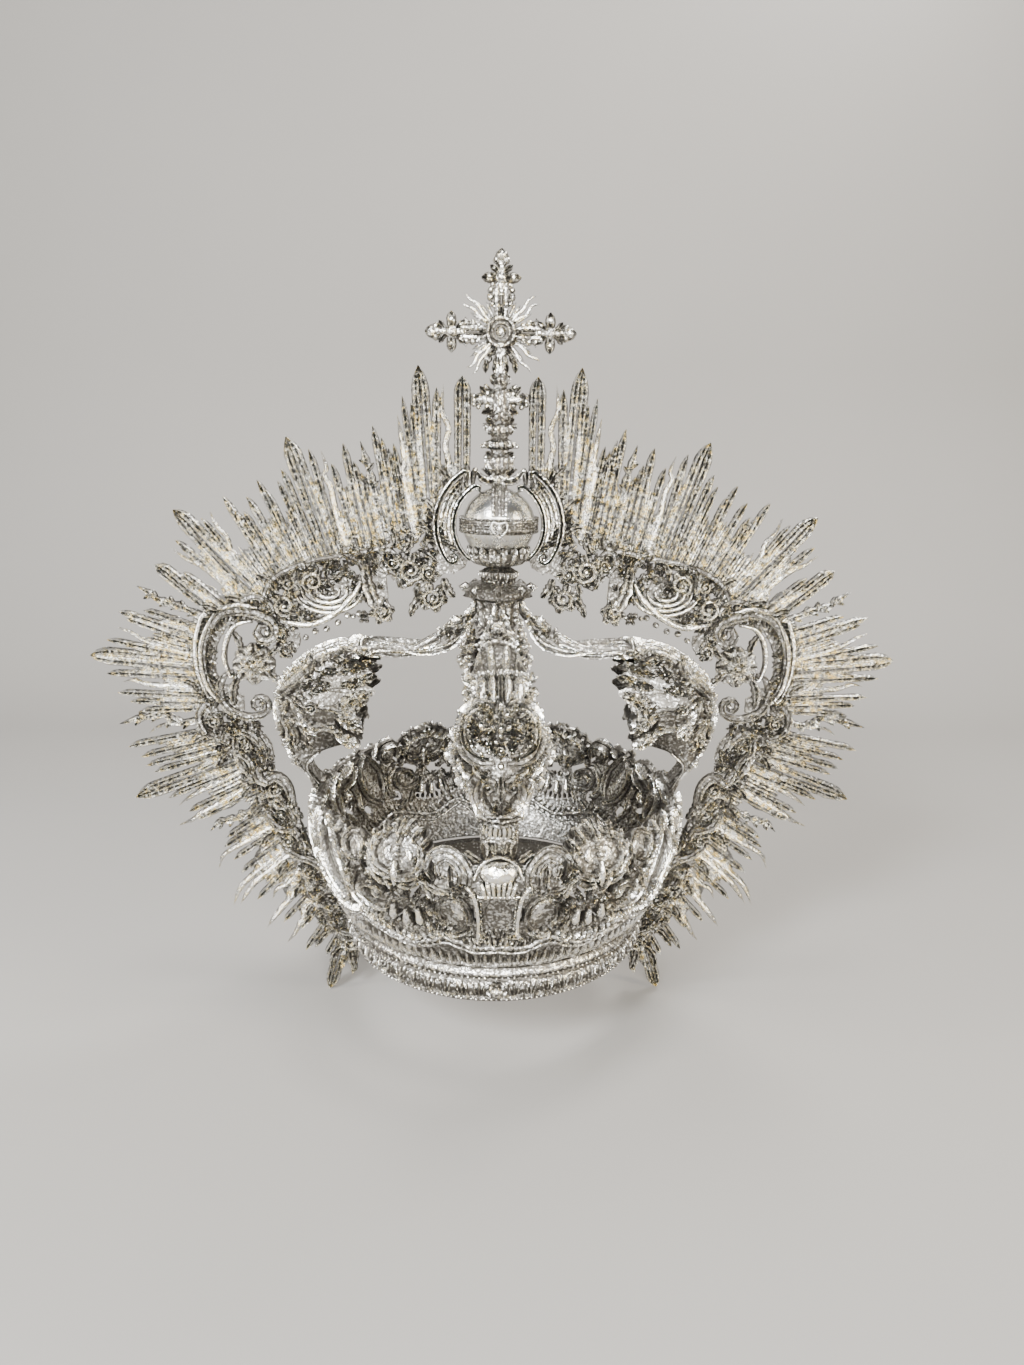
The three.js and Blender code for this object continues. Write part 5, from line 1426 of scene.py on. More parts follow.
def draw_arch(b, skin):
    """An arch from its foot, over the shoulder's cartouche and the flutes, to the leaf under the hub."""
    arch_skin(b.pile, skin, b.place)
    for hand in (-1, 1):
        draw_arch_side(b, skin, hand)
    for spot, half, height in (
        (20.6, 10.6, 4.0), (23, 10.4, 3.0), (33.4, 11.2, 3.6), (36.6, 14.4, 3.2), (39.8, 13.0, 4.0),
        (136, 17.5, 3.6), (188, 11.0, 3.6),
    ):
        b.wire([(spot, -half), (spot, half)], 19, 1.2, height, tone=0.72, rough=0.3)
    for d in np.linspace(-9, 9, 7):
        b.run([(24, d * 0.9), (28, d), (32.6, d * 0.95)], 7, 1.7, 3.6, ROUND, ((0, 0.6), (0.5, 1), (1, 0.6)))
    b.leaf((49, 0), (63, 0), 3.4, 5.0)
    b.rosette((75.5, 0), 4.6, 5.4)
    b.beads([(68, 0), (83, 0), (86.5, 0), (101, 0)], [2.6, 1.8, 2.4, 2.2], 5.4, 10)
    b.leaf((88, 0), (99, 0), 2.6, 4.8, lobes=2)
    b.leaf((103, 0), (132, 0), 2.2, 5.4, lobes=0)
    b.rosette((200, 0), 5.4, 5.4)
    b.leaf((206, 0), (229, 0), 4.0, 5.0, lobes=4)


# ---------------------------------------------------------------- hub, orb and stem
def radius_at(profile, z):
    """Radius of a turned profile at a height."""
    radius, height = zip(*profile)
    return float(np.interp(z, height, radius))


def turned_place(profile):
    """Turned surface: s runs round in millimetres at the local radius, t is height, h stands off it."""
    radius, z = np.asarray(profile, float).T

    def place(s, t, h):
        r = np.interp(t, z, radius)
        return swung(r + h, s / np.maximum(r, 1.0), t)
    return place


HUB_PROFILE = (
    (2, 196), (6, 197.5), (10.5, 202), (11.5, 210), (11.5, 218.5), (20, 221.5), (21, 225.5), (15, 229.5),
    (9, 230.5), (11.4, 233.5), (11.4, 236.5), (6, 239.2),
)
CUP_PROFILE = ((4, 239.6), (9, 239.6), (14.2, 241.2), (17.2, 244.4), (18.2, 248.4))
COLLAR_RADIUS = 11.4        # where the hub's leaves stand
LIP_RADIUS = 18.3           # where the leaves of the cup's lip stand
CUP_GADROONS = 18
ORB_RADIUS = 22.0
ORB_Z = 264.7
BELT_RADIUS = 23.5


def draw_hub(pile):
    """The knot under the orb: a turned core with a ring of leaf scrolls, beads and gadroons."""
    pile.tube(turned_grid(HUB_PROFILE, 48), 0.62)
    b = Bench(pile, turned_place(HUB_PROFILE), ground=-0.4)
    for z, count, radius, height in ((219.5, 26, 1.4, 2.0), (230.8, 22, 1.1, 1.8), (238.2, 18, 1.0, 1.4)):
        s = evenly(2 * math.pi * radius_at(HUB_PROFILE, z), count)
        b.beads(level(s, z), radius, height, 6)
    for s in evenly(2 * math.pi, 16) * COLLAR_RADIUS:
        b.leaf((s, 231.6), (s, 237.4), 2.1, 1.6, lobes=0)
    for angle in evenly(2 * math.pi, 8):
        # Leaf scrolls that roll outwards round the collar, each in its own upright plane.
        cos, sin = math.cos(angle), math.sin(angle)
        for hand in (-1, 1):
            def place(s, t, h, cos=cos, sin=sin, hand=hand):
                y = hand * h
                return xyz(s * cos - y * sin, s * sin + y * cos, t)
            w = Bench(pile, place, ground=-0.2)
            w.scroll([(10, 214), (13, 221), (17, 226), (19.5, 228)], 2.0, 2.4, head=(2.6, 1.1), section=ROUND)
            w.leaf((11, 217), (21.5, 221), 2.2, 2.0, bend=0.2)
    for s in (evenly(2 * math.pi, 8) + math.pi / 8) * COLLAR_RADIUS:
        b.leaf((s, 218), (s, 203), 3.6, 2.2)


def draw_cup(pile):
    """The orb's cup: turned, with gadroons under a scalloped lip and a jewel in front."""
    pile.tube(turned_grid(CUP_PROFILE + ((17.0, 248.8), (15.1, 248.6), (10.3, 244.9), (4, 242)), 60), 0.5)
    b = Bench(pile, turned_place(CUP_PROFILE), ground=-0.3)
    bearings = evenly(2 * math.pi, CUP_GADROONS) + math.pi / CUP_GADROONS
    for angle in bearings:
        path = [(angle * radius_at(CUP_PROFILE, z), z) for z in np.linspace(240.6, 248, 7)]
        b.strip(path, 2.1, 1.9, ROUND, ((0, 0.35), (0.7, 1), (1, 0.75)))
    lip = Bench(pile, turned_place(((LIP_RADIUS, 246), (LIP_RADIUS + 0.2, 252))), ground=-0.2)
    for s in bearings * LIP_RADIUS:
        lip.leaf((s, 247.4), (s, 251.8), 2.6, 1.3, lobes=0)
    b.run([(0, 240), (0, 247.6)], 8, 3.0, 2.6, ROUND, ((0, 0.4), (0.5, 1), (1, 0.35)))
    b.beads([(0, 244.6)], 2.4, 4.0, 10)


def orb_place(s, t, h):
    """Orb: s runs round and t up from its middle, both along the surface; h stands off it."""
    lat, r = t / ORB_RADIUS, ORB_RADIUS + h
    return swung(r * np.cos(lat), s / ORB_RADIUS, ORB_Z + r * np.sin(lat))


def draw_orb(pile):
    """The polished ball, with engraved lines below its belt."""
    lat = np.radians(np.concatenate([np.linspace(-88, -30, 16), np.linspace(-27, 88, 40)]))
    groove = 0.22 * np.exp(-((np.degrees(lat)[:, None] - np.array([-24, -29])) / 1.6) ** 2).sum(1)
    r = ORB_RADIUS - 0.1 - groove
    pile.tube(turned_grid(np.stack([r * np.cos(lat), ORB_Z + r * np.sin(lat)], -1), 96), 1.0)


def draw_orb_belt(pile):
    """The chased belt round the orb: a moulded ring with rows of leaves between beads."""
    lower = [(22.1, -4.6), (23.5, -4.7), (24.2, -4), (23.5, -3.2), (23.8, -2.4), (23.4, -1.6), (23.8, -0.8)]
    section = lower + [(23.4, 0)] + [(r, -z) for r, z in lower[::-1]]
    add_ring(pile, turned_grid([(r, ORB_Z + z) for r, z in section], 96), 0.66)

    def place(s, t, h):
        """Belt: s runs round, t up from the orb's middle."""
        return swung(BELT_RADIUS + h, s / BELT_RADIUS, ORB_Z + t)
    b = Bench(pile, place, ground=-0.2)
    around = 2 * math.pi * BELT_RADIUS
    s = evenly(around, 44)
    for row in range(5):
        base = level(s + 1.3 * row, 1.6 * (row - 2))
        b.leaves(base, base + [2.6, 0.3], 0.5, 1.1)
    b.beads(level(evenly(around, 90), 4.0), 0.6, 1.2, 6)


def draw_orb_strap(pile):
    """The strap over the orb: three ribs side by side, front to back over the top."""
    reach = np.radians(np.linspace(16, 164, 60)) * ORB_RADIUS

    def over(s, t, h):
        """Strap: s runs from the front over the top, t across."""
        r, a = ORB_RADIUS + h, s / ORB_RADIUS
        return xyz(t * (1 + h / ORB_RADIUS), -r * np.cos(a), ORB_Z + r * np.sin(a))
    b = Bench(pile, over, ground=-0.2)
    path = level(reach, 0)
    # The plate under the ribs is painted darker, as painted shade behind them.
    b.strip(path, 4.8, 1.4, SLAB, EVEN, crown=EVEN, tone=0.5)
    for t in (-3.4, 0.0, 3.4):
        b.strip(path + [0, t], 1.15, 2.2, ROUND, EVEN, tone=0.8)
    for t in (1.7, -1.7):
        b.bead_row(path + [0, t], 1.5, 0.5, 1.9)


def draw_heart(pile):
    """The heart boss on the orb's front, with an oval gem in a ring of beads."""
    b = Bench(pile, orb_place, ground=0.2)
    path = [(0, -6.2), (4.0, -1.4), (3.6, 2.6), (0, 1.8), (-3.6, 2.6), (-4.0, -1.4), (0, -6.2)]
    b.wire(path, 40, 0.9, 2.2)
    b.run([(0, -5.4), (0, 2.2)], 10, 3.6, 1.5, ROUND, ((0, 0.15), (0.5, 0.9), (0.8, 1), (1, 0.6)))
    b.run([(0, -3.4), (0, 1.6)], 8, 1.9, 3.0, ROUND, ((0, 0.4), (0.5, 1), (1, 0.4)))
    b.beads([0, -0.9] + [2.6, 3.3] * unit(evenly(2 * np.pi, 14)), 0.5, 2.4, 6)


STEM_PROFILE = (
    (4.2, 293.4), (7.4, 297), (7.8, 303), (5.2, 307.5), (8.2, 310), (8.2, 312.6), (4.8, 315), (7, 318.2),
    (6.8, 321.4), (5, 323.6), (6.6, 327), (5.2, 330.5), (5.2, 340), (3.8, 343.5), (5.4, 348), (4.2, 351.2),
)


def draw_crescent(pile):
    """The crescent of leaves on which the stem stands."""
    for front in (True, False):
        b = Bench(pile, upright(1, front), ground=-0.3, foot=0.4)
        for hand in (-1, 1):
            b.scroll([(0, 291), (hand * 6, 289.8), (hand * 11, 292), (hand * 14.6, 297)], 2.6, 3.2,
                     section=TWIN, shape=((0, 1), (0.6, 1), (1, 0.3)))
            b.leaf((hand * 3, 291), (hand * 9, 297.4), 2.0, 3.2, lobes=2)
            b.beads([(hand * 14.2, 296.4), (hand * 7, 291)], [1.6, 1.3], 3.6)
        b.fan((0, 288.6), (0, 297.5), 100, 7, 3.4)


def draw_stem(pile):
    """The stem: a turned core with leaf knots, the thin bar, and the two leafy arms."""
    pile.tube(turned_grid(smooth_path(STEM_PROFILE, 60), 24), 0.7)
    b = Bench(pile, turned_place(STEM_PROFILE), ground=-0.3, foot=0.35)
    for z, tall, count in ((295.5, 9.5, 8), (308.6, 5, 12), (316.6, 5.6, 8), (324.6, 5.6, 8), (331, 11, 6),
                           (344.8, 6, 8)):
        radius = radius_at(STEM_PROFILE, z + tall / 2)
        for s in evenly(2 * math.pi, count) * radius:
            b.leaf((s, z), (s, z + tall), radius * 0.42, 1.7, lobes=2)
    for front in (True, False):
        f = Bench(pile, upright(1, front), ground=-0.3, seed=7, foot=0.42)
        for hand in (-1, 1):
            def pt(*numbers):
                return [(hand * x, z) for x, z in paired(*numbers)]
            f.wire(pt(0, 310.2, 9.6, 310.2), 8, 1.2, 2.4)
            f.beads(pt(10.2, 310.2), 1.5, 2.4)
            f.scroll(pt(1, 317, 5, 318, 7, 322), 1.4, 3.6, head=(1.8, 1.0))
            f.run(pt(1, 335.4, 7, 336.4, 13.6, 336.8), 8, 3.4, 4.0, ROUND,
                  ((0, 1), (0.5, 0.85), (0.8, 1), (1, 0.6)))
            f.rosette(pt(12.4, 336.8)[0], 3.6, 5.2)
            f.beads(pt(7.4, 340, 7.6, 332.8, 15.4, 338.6, 15.2, 333.8), [2.0, 2.0, 1.7, 1.7], 4.6)
            f.leaf(pt(5.5, 334)[0], pt(6.5, 325.5)[0], 2.0, 3.2, lobes=0)
            f.leaf(pt(4, 340)[0], pt(9.5, 345)[0], 1.9, 3.2, lobes=2)
            f.beads(pt(6.5, 327, 15, 336, 12.6, 332.4, 8.4, 343.6), [1.6, 2.0, 1.8, 1.6], 4.2)
            f.leaf(pt(4, 332)[0], pt(11, 328.6)[0], 2.2, 3.6, lobes=2)
            f.leaf(pt(6, 337)[0], pt(12, 344)[0], 2.2, 3.8, lobes=2)
            f.leaf(pt(3, 322)[0], pt(8.6, 326)[0], 2.0, 3.6, lobes=2)
            f.leaf(pt(2.4, 303)[0], pt(8.4, 307)[0], 2.2, 3.6, lobes=2)
            f.beads(pt(8.2, 304, 7.6, 319.8), 1.5, 4.0)
            f.scroll(pt(3, 300, 7, 301, 7.6, 297), 1.4, 3.6, head=(1.6, 0.9))
        f.run([(0, 329.5), (0, 341)], 8, 3.4, 6.6, ROUND, ((0, 0.3), (0.5, 1), (1, 0.3)))
        f.beads([(0, 335.4)], 1.8, 7.6, 10)
        f.leaf((0, 343), (0, 350.6), 2.6, 5.6, lobes=2)


# ---------------------------------------------------------------- the cross
CROSS_Z = 373.5


def draw_cross_face(b):
    """One face of the cross: the three flowered arms, the foot, and the mouldings between them."""
    arms = (
        (90, ((37, 44.6, 3.6), (31.5, 35.8, 6.5)), 29.3, 9.5, (14.8, 26.0, 6.9)),
        (0, ((37, 43.5, 3.3), (31, 35.6, 6.0)), 28.3, 9.4, (12.5, 23.0, 5.8)),
        (180, ((37, 43.5, 3.3), (31, 35.6, 6.0)), 28.3, 9.4, (12.5, 23.0, 5.8)),
    )
    for bearing, (bud, collar), knob, spike, shaft in arms:
        along = unit(math.radians(bearing))
        across = square(along)

        def pt(out, side=0.0):
            return along * out + across * side + [0, CROSS_Z]
        b.run([pt(6), pt(shaft[0]), pt(shaft[1])], 10, 4.4, 2.8, TWIN, ((0, 0.8), (0.5, 1), (1, 0.86)))
        # The plate under the shaft is painted darker, as painted shade behind the beads.
        b.run([pt(shaft[0]), pt(shaft[1])], 6, shaft[2], 2.0, SLAB,
              ((0, 0.8), (0.2, 1), (0.8, 1), (1, 0.7)), crown=EVEN, tone=0.4)
        middle = sum(shaft[:2]) / 2
        for hand in (-1, 1):
            for out, side, radius in ((-5, -0.6, 1.8), (-1.6, 0.4, 2.2), (2.2, 0.4, 2.0), (5.2, -0.8, 1.7)):
                b.beads([pt(middle + out, hand * (shaft[2] + side - 1.2))], radius, 3.8)
            b.beads([pt(bud[1] - 6.2, hand * 3.0)], 2.1, 4.0)
        b.wire([pt(20), pt(40)], 9, 2.4, 3.0)
        b.leaf(pt(bud[0] - 2), pt(bud[1]), bud[2] + 0.8, 4.2, lobes=0)
        b.beads([pt(bud[1] - 3.8)], 3.6, 5.0, 10)
        b.beads([pt(bud[0] - 2.4)], 2.4, 4.4)
        b.beads(pt(knob), 4.0, 5.2, 10)
        b.beads(pt(22), 2.6, 4.4)
        for hand in (-1, 1):
            b.leaf(pt(collar[0], 0), pt(collar[1], hand * collar[2]), 2.2, 3.4, lobes=2)
            b.leaf(pt(knob, hand * 2), pt(knob, hand * (spike + 1.8)), 3.3, 4.0, lobes=0)
            b.beads([pt(knob, hand * (spike - 2.6))], 2.6, 4.6)
            b.leaf(pt(knob - 3, hand * 1.5), pt(knob - 6.5, hand * 6.2), 1.9, 3.2, lobes=2)
            b.scroll([pt(12, hand * 1.5), pt(15, hand * 4.6), pt(20, hand * 4.8)], 1.2, 3.8, head=(1.6, 1.0))
            b.beads([pt(shaft[0] + 1, hand * (shaft[2] - 1)), pt(shaft[1] - 1, hand * (shaft[2] - 1.2))],
                    1.2, 3.0, 6)
        b.leaf(pt(10), pt(21), 2.4, 4.2, lobes=2)

    def low(out, side=0.0):
        return np.array([side, CROSS_Z - out])
    b.run([low(6), low(14), low(22)], 8, 4.4, 3.4, ROUND, ((0, 0.9), (0.5, 0.8), (1, 1)))
    for hand in (-1, 1):
        b.leaf(low(8, hand * 2), low(22.4, hand * 8.6), 2.8, 3.8, bend=0.14 * hand)
        b.leaf(low(10, hand * 1), low(21.5, hand * 4.4), 2.0, 4.2)
    b.leaf(low(12), low(21), 2.2, 5.0, lobes=0)
    b.beads(low(17), 1.9, 5.8)


def draw_cross(pile):
    """Both faces of the cross."""
    for front in (True, False):
        draw_cross_face(Bench(pile, upright(1, front), ground=-0.2, seed=9, foot=0.42))


def draw_cross_boss(pile):
    """The round boss over the crossing, front and back: a rope ring, a beaded ring and a dome."""
    for front in (True, False):
        b = Bench(pile, upright(1, front), ground=1.4, foot=0.35)
        ring = unit(np.linspace(0, 2 * np.pi, 61))
        centre = np.array([0, CROSS_Z])
        # The low dome behind the rings is painted darker, as painted shade behind them.
        b.beads([centre], 8.6, 2.0, 28, tone=0.4)
        b.strip(centre + ring * 7.7, 1.2, 3.8, ROUND, EVEN, rough=0.2)
        spots = unit(evenly(2 * np.pi, 20))
        b.leaves(centre + spots * 8.2, centre + spots * 10.6, 1.1, 2.8)
        b.strip(centre + ring * 4.9, 0.8, 4.2, ROUND, EVEN)
        b.beads([centre], 3.5, 5.6, 16)


SUN_FLAMES = (
    ((-6, 6), (-12, 12.5), (-14.5, 16), (-20, 20)), ((-6, 5), (-13, 9), (-17, 13.5), (-22, 15.5)),
    ((6, 6), (12, 12.5), (14.5, 16), (20, 20)), ((6, 5), (13, 9), (17, 13.5), (22, 15.5)),
    ((-6, -6), (-12, -11.5), (-15, -16), (-19.7, -19.4)), ((-5, -6), (-9.5, -13), (-12.5, -17), (-16, -23)),
    ((6, -5), (13, -8.5), (17, -13), (23, -15.7)), ((5, -6), (10, -13), (13, -17), (17.7, -21.8)),
)
SUN_RAYS = (
    (-11.2, 15), (-8.6, 16.5), (11.2, 15), (8.6, 16.5), (-17.5, 10.5), (17.5, 10.5), (-16.5, -9.5),
    (17, -9), (-12.5, -16.5), (13.5, -15.5), (-9.4, -19), (9.6, -19), (-15.5, 16.5), (15.5, 16.5),
    (-17.5, -13.5), (18.5, -12),
)


def draw_sunburst(pile):
    """Thin flames and short rays that burst from behind the crossing."""
    for front in (True, False):
        b = Bench(pile, upright(1, front), ground=-0.2)
        for points in SUN_FLAMES:
            path = smooth_path([(x, CROSS_Z + z) for x, z in points], 18)
            u = np.linspace(0, 1, 18)
            span = path[-1] - path[0]
            path = path + square(span) / np.linalg.norm(span) * (np.sin(u * 9.5) * u * 0.9)[:, None]
            b.strip(path, 1.0, 1.5, ROUND, FLAME_SHAPE)
        for x, z in SUN_RAYS:
            b.run([(x * 0.3, CROSS_Z + z * 0.3), (x, CROSS_Z + z)], 6, 0.95, 1.3, RIDGE, BLADE_SHAPE)


# ---------------------------------------------------------------- sizes and colours
def length(name, text, low, high, value):
    """A length for the sidebar, in metres."""
    return bpy.props.FloatProperty(name=name, description=text, unit="LENGTH", min=low, max=high,
                                   default=value)


def colour(name, text, value):
    """A colour for the sidebar."""
    return bpy.props.FloatVectorProperty(
        name=name, description=text, subtype="COLOR", size=3, min=0.0, max=1.0, default=value)


def polish(name, text, value):
    """A roughness for the sidebar."""
    return bpy.props.FloatProperty(
        name=name, description=text, subtype="FACTOR", min=0.02, max=1.0, default=value)


class CrownSizes(bpy.types.PropertyGroup):
    """Sizes of the sheet metal and of the rays' ribs."""
    ray_rise: length("Ray thickness", "From the back of a ray to its ridge", 0.001, 0.005, 0.0033)
    rib_pitch: length("Rib pitch", "Widest rib that fills the wedge between two rays", 0.0015, 0.008, 0.003)
    basket_wall: length("Basket wall", "Thickness of the basket's pierced wall", 0.001, 0.003, 0.0024)
    arch_wall: length("Arch wall", "Thickness of the arches' folded sheet", 0.001, 0.003, 0.0022)


class CrownSilver(bpy.types.PropertyGroup):
    """Colours and polish of the metal."""
    bright: colour("Bright silver", "Colour of the rubbed metal", (0.95, 0.94, 0.905))
    # Colour of the tarnish and painted shade in the hollows; the next, that of the tarnish and painted shade
    # between the rays' ribs.
    patina_and_shade: colour("Patina", "Colour left in the hollows", (0.1, 0.092, 0.08))
    groove: colour("Groove", "Colour between the ribs of the rays", (0.09, 0.086, 0.08))
    chased_polish: polish("Chased polish", "Roughness of the rubbed chased work", 0.14)
    ray_polish: polish("Ray polish", "Roughness of the rays' ridges", 0.2)


class CrownStage(bpy.types.PropertyGroup):
    """Floor and light."""
    floor: colour("Floor", "Colour of the floor and its sweep", (0.265, 0.252, 0.236))
    drop: length("Floor level", "Height of the floor", -1.0, 1.0, -0.048)
    key: bpy.props.FloatProperty(
        name="Key light", description="Power of the large soft light", unit="POWER", min=0.0, default=66.0)
    ambient: bpy.props.FloatProperty(
        name="Room light", description="Strength of the even light all round", min=0.0, default=0.16)


def silver_of(kind):
    """The finish of a kind, made once and used by every piece of that kind."""
    name = f"worked_{kind}"
    if name in bpy.data.materials:
        return bpy.data.materials[name]
    paint = bpy.context.scene.crown_silver
    bright, patina_and_shade, groove = (tuple(colour) for colour in (paint.bright, paint.patina_and_shade, paint.groove))
    if kind == "polished_silver":
        dull = tuple(0.6 * part for part in bright)
        return silver(name, dull, patina_and_shade, 0.26, warm_glint_strength=0.25, depth=0.6, lumps_and_crease_shade=0.15, rub_and_shade_level=1.3, glint_specks=1.6)
    if kind == "ray_silver":
        return silver(name, bright, groove, paint.ray_polish, warm_glint_strength=0.7, depth=2.2, lumps_and_crease_shade=0.9, rub_and_shade_level=1.8,
                      glint_specks=2.6)
    if kind == "grained_silver":
        return silver(name, bright, patina_and_shade, paint.chased_polish, warm_glint_strength=0.6, depth=1.9, rub_and_shade_level=2.02, glint_specks=2.4)
    return silver(name, bright, patina_and_shade, paint.chased_polish, warm_glint_strength=0.5, depth=1.3, rub_and_shade_level=1.33, glint_specks=1.5)


def area_light(name, place, size, power, colour):
    """A soft rectangular light at a place, turned to face the crown."""
    data = bpy.data.lights.new(name, "AREA")
    data.shape = "RECTANGLE"
    data.size, data.size_y = size
    data.energy = power
    data.color = colour
    obj = bpy.data.objects.new(name, data)
    ray = Vector(LIGHT_AIM) - Vector(place)
    obj.location = place
    obj.rotation_euler = ray.to_track_quat("-Z", "Y").to_euler()
    bpy.context.scene.collection.objects.link(obj)


# ---------------------------------------------------------------- operators
# Lights: the place, the size, the share of the key light's power and the colour.
STUDIO_LIGHTS = (
    ("key_light", (-0.8, -1.3, 1.25), (0.5, 0.5), 1.0, (0.95, 0.98, 1.0)),
    ("front_light", (0.3, -2.0, 0.8), (0.9, 0.35), 1.0, (1.0, 0.99, 0.96)),
    ("fill_light", (1.4, -0.8, 0.5), (0.35, 1.0), 0.45, (1.0, 0.9, 0.72)),
    ("top_light", (0.1, -0.1, 1.9), (0.8, 0.4), 0.45, (1.0, 0.99, 0.97)),
    ("left_strip", (-1.1, -0.35, 0.3), (0.12, 0.9), 0.2, (1.0, 0.97, 0.92)),
    ("back_light", (0.7, 0.85, 1.45), (0.6, 0.4), 0.3, (1.0, 0.99, 0.97)),
    ("low_light", (-0.35, -1.5, 0.25), (0.5, 0.25), 0.36, (0.97, 0.99, 1.0)),
)


FLOOR_HALF = 3.0            # metres from the middle to either side
FLOOR_FRONT = 2.2           # and to the front
SWEEP_START = 0.6           # where the floor begins to bend up
SWEEP = 0.5                 # radius of the bend
WALL_TOP = 2.6
LIGHT_AIM = (0.0, 0.0, 0.17)


class CROWN_OT_stage(bpy.types.Operator):
    """Lays the floor with its sweep and hangs the lights"""
    bl_idname = "crown.stage"
    bl_label = "Stage"

    def execute(self, context):
        paint = context.scene.crown_stage
        across = np.linspace(-FLOOR_HALF, FLOOR_HALF, 5)
        flat = [(-FLOOR_FRONT, 0.0), (SWEEP_START, 0.0)]
        angle = np.linspace(0, np.pi / 2, 14)
        bend = np.stack([SWEEP_START + SWEEP * np.sin(angle), SWEEP - SWEEP * np.cos(angle)], -1)
        side = np.concatenate([flat, bend[1:], [(SWEEP_START + SWEEP, WALL_TOP)]])
        grid = np.stack(np.broadcast_arrays(across[:, None], side[:, 0], paint.drop + side[:, 1]), -1)
        rows, columns = grid.shape[:2]
        r, c = np.meshgrid(np.arange(rows - 1), np.arange(columns - 1), indexing="ij")
        a = (r * columns + c).ravel()
        faces = np.stack([a, a + columns, a + columns + 1, a + 1], -1)
        mesh = bpy.data.meshes.new("studio_floor")
        mesh.from_pydata(grid.reshape(-1, 3).tolist(), [], faces.tolist())
        mesh.polygons.foreach_set("use_smooth", np.ones(len(faces), bool))
        floor = bpy.data.objects.new("studio_floor", mesh)
        context.scene.collection.objects.link(floor)
        material, fill, add = new_paint("floor_paint")
        where = add("TexCoord", {}, "Object")
        noise = add("TexNoise", {"Vector": where, "Scale": 6.0}, "Fac")
        tint = mixed(add, noise, (*(0.96 * v for v in paint.floor), 1), (*paint.floor, 1))
        fill(material.node_tree.nodes["Principled BSDF"], {"Roughness": 0.85, "Base Color": tint})
        mesh.materials.append(material)

        world = bpy.data.worlds.new("studio")
        world.use_nodes = True
        background = world.node_tree.nodes["Background"]
        background.inputs["Color"].default_value = (0.9, 0.94, 1.0, 1)
        background.inputs["Strength"].default_value = paint.ambient
        context.scene.world = world
        for name, place, size, share, colour in STUDIO_LIGHTS:
            area_light(name, place, size, paint.key * share, colour)
        return {"FINISHED"}


CAMERA_PLACE = (-9.6, -574.0, 310.3)
CAMERA_PITCH, CAMERA_YAW, CAMERA_ROLL = 14.06, -1.89, 0.84
CAMERA_FOCAL = 943.2        # in image points, for an image 1365 points tall
IMAGE_TALL = 1365.0
SENSOR = 36.0


def build_camera():
    """Camera from a place and three turns: yaw about the upright, pitch down, roll about the sight."""
    pitch, yaw, roll = (math.radians(v) for v in (CAMERA_PITCH, CAMERA_YAW, CAMERA_ROLL))
    right = Vector((math.cos(yaw), math.sin(yaw), 0))
    ahead = Vector((-math.sin(yaw), math.cos(yaw), 0))
    up = Vector((0, 0, 1))
    sight = ahead * math.cos(pitch) - up * math.sin(pitch)
    crown = up * math.cos(pitch) + ahead * math.sin(pitch)
    across = right * math.cos(roll) + crown * math.sin(roll)
    crown = -right * math.sin(roll) + crown * math.cos(roll)
    data = bpy.data.cameras.new("camera")
    data.sensor_width = SENSOR
    data.lens = SENSOR * CAMERA_FOCAL / IMAGE_TALL
    data.clip_start, data.clip_end = 0.02, 30.0
    camera = bpy.data.objects.new("camera", data)
    turn = Matrix((across, crown, -sight)).transposed().to_4x4()
    camera.matrix_world = Matrix.Translation(Vector(CAMERA_PLACE) * MM) @ turn
    bpy.context.scene.collection.objects.link(camera)
    bpy.context.scene.camera = camera


class CROWN_OT_camera(bpy.types.Operator):
    """Sets the camera"""
    bl_idname = "crown.camera"
    bl_label = "Camera"

    def execute(self, context):
        build_camera()
        return {"FINISHED"}


class CROWN_OT_halo(bpy.types.Operator):
    """Builds both halves of the halo: rays, pads and scrollwork"""
    bl_idname = "crown.halo"
    bl_label = "Halo"

    def execute(self, context):
        for name, side in (("left", -1), ("right", 1)):
            node, front, back = f"halo_{name}", upright(side), upright(side, False)
            piece(f"{node}_rays", "ray_silver", "ray_silver", node,
                  lambda pile: draw_halo_rays(Bench(pile, front, ground=HALO_BACK, seed=3)))
            piece(f"{node}_scrolls", "chased_silver", "chased_silver", node,
                  lambda pile: draw_halo_pads(Bench(pile, front, ground=HALO_BACK)),
                  lambda pile: draw_halo_scrolls(Bench(pile, front, ground=HALO_BAND_GROUND, seed=4)),
                  lambda pile: draw_halo_back(Bench(pile, back, ground=-HALO_BACK - 0.3, seed=5)))
        return {"FINISHED"}


class CROWN_OT_basket(bpy.types.Operator):
    """Builds the pierced basket with its chasing outside and inside"""
    bl_idname = "crown.basket"
    bl_label = "Basket"

    def execute(self, context):
        piece("basket_wall", "chased_silver", "chased_silver", "basket", basket_wall, basket_rim)
        for name, inside in (("basket_outer_scrolls", False), ("basket_inner_scrolls", True)):
            piece(name, "chased_silver", "chased_silver", "basket", lambda pile: draw_basket(pile, inside))
        return {"FINISHED"}


class CROWN_OT_ring(bpy.types.Operator):
    """Builds the ring that sits on the head"""
    bl_idname = "crown.ring"
    bl_label = "Ring"

    def execute(self, context):
        piece("ring_band", "grained_silver", "chased_silver", "base_ring", draw_ring)
        return {"FINISHED"}


class CROWN_OT_arches(bpy.types.Operator):
    """Builds the four folded arches"""
    bl_idname = "crown.arches"
    bl_label = "Arches"

    def execute(self, context):
        skin = ArchSkin()
        for name, turn in ARCH_TURNS.items():
            bench = {"place": skin.place(turn), "ground": -0.5, "seed": turn + 31}
            piece(f"arch_{name}_chased", "chased_silver", "chased_silver", f"arch_{name}",
                  lambda pile: draw_arch(Bench(pile, **bench), skin))
        return {"FINISHED"}


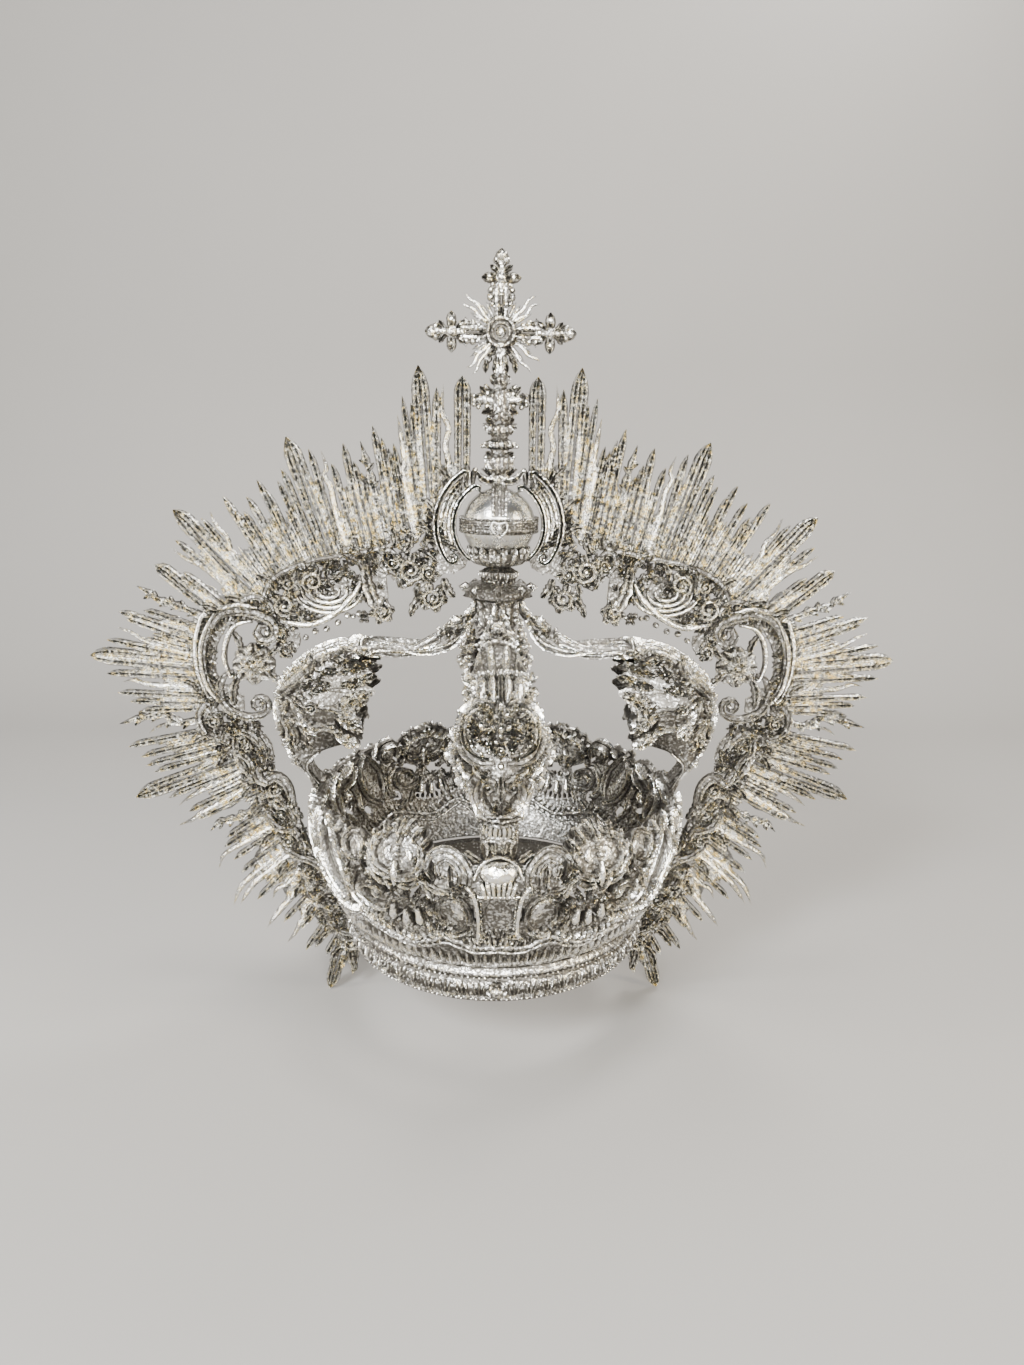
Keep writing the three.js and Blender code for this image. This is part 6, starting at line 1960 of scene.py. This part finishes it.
class CROWN_OT_orb(bpy.types.Operator):
    """Builds the hub, the cup, the orb with its bands, and the stem"""
    bl_idname = "crown.orb"
    bl_label = "Orb and stem"

    def execute(self, context):
        for name, slot, node, draw in (
            ("hub_knot", "chased_silver", "hub", draw_hub),
            ("orb_cup_scalloped", "chased_silver", "orb_cup", draw_cup),
            ("orb_ball", "polished_silver", "orb", draw_orb),
            ("orb_belt", "chased_silver", "orb_equator_band", draw_orb_belt),
            ("orb_strap", "chased_silver", "orb_meridian_band", draw_orb_strap),
            ("orb_heart_boss", "polished_silver", "orb_heart", draw_heart),
            ("crescent_leaves", "chased_silver", "crescent_collar", draw_crescent),
            ("stem_knots", "chased_silver", "stem", draw_stem),
        ):
            piece(name, "grained_silver" if slot == "chased_silver" else slot, slot, node, draw)
        return {"FINISHED"}


class CROWN_OT_cross(bpy.types.Operator):
    """Builds the cross, its boss and its sunburst"""
    bl_idname = "crown.cross"
    bl_label = "Cross"

    def execute(self, context):
        piece("cross_arms", "grained_silver", "chased_silver", "cross", draw_cross)
        piece("cross_boss_dome", "grained_silver", "polished_silver", "cross_boss", draw_cross_boss)
        piece("cross_flames", "ray_silver", "ray_silver", "cross_sunburst", draw_sunburst)
        return {"FINISHED"}


STEPS = (
    ("crown.camera", "Camera"), ("crown.stage", "Stage"), ("crown.ring", "Ring"),
    ("crown.basket", "Basket"), ("crown.arches", "Arches"), ("crown.orb", "Orb and stem"),
    ("crown.cross", "Cross"), ("crown.halo", "Halo"),
)


class CROWN_PT_panel(bpy.types.Panel):
    """Lists the crown's pieces, sizes and colours"""
    bl_idname = "CROWN_PT_panel"
    bl_label = "Imperial Crown"
    bl_space_type = "VIEW_3D"
    bl_region_type = "UI"
    bl_category = "Crown"

    def draw(self, context):
        scene = context.scene
        for group in (scene.crown_sizes, scene.crown_silver, scene.crown_stage):
            box = self.layout.box()
            for key in group.__annotations__:
                box.prop(group, key)
        for name, label in STEPS:
            self.layout.operator(name, text=label)


CLASSES = (
    CrownSizes, CrownSilver, CrownStage, CROWN_OT_camera, CROWN_OT_stage, CROWN_OT_ring, CROWN_OT_basket,
    CROWN_OT_arches, CROWN_OT_orb, CROWN_OT_cross, CROWN_OT_halo, CROWN_PT_panel,
)


def register():
    for cls in CLASSES:
        bpy.utils.register_class(cls)
    bpy.types.Scene.crown_sizes = bpy.props.PointerProperty(type=CrownSizes)
    bpy.types.Scene.crown_silver = bpy.props.PointerProperty(type=CrownSilver)
    bpy.types.Scene.crown_stage = bpy.props.PointerProperty(type=CrownStage)


def unregister():
    del bpy.types.Scene.crown_stage
    del bpy.types.Scene.crown_silver
    del bpy.types.Scene.crown_sizes
    for cls in reversed(CLASSES):
        bpy.utils.unregister_class(cls)


def main():
    register()
    for name, _ in STEPS:
        group, operator = name.split(".")
        getattr(getattr(bpy.ops, group), operator)()


if __name__ == "__main__":
    main()
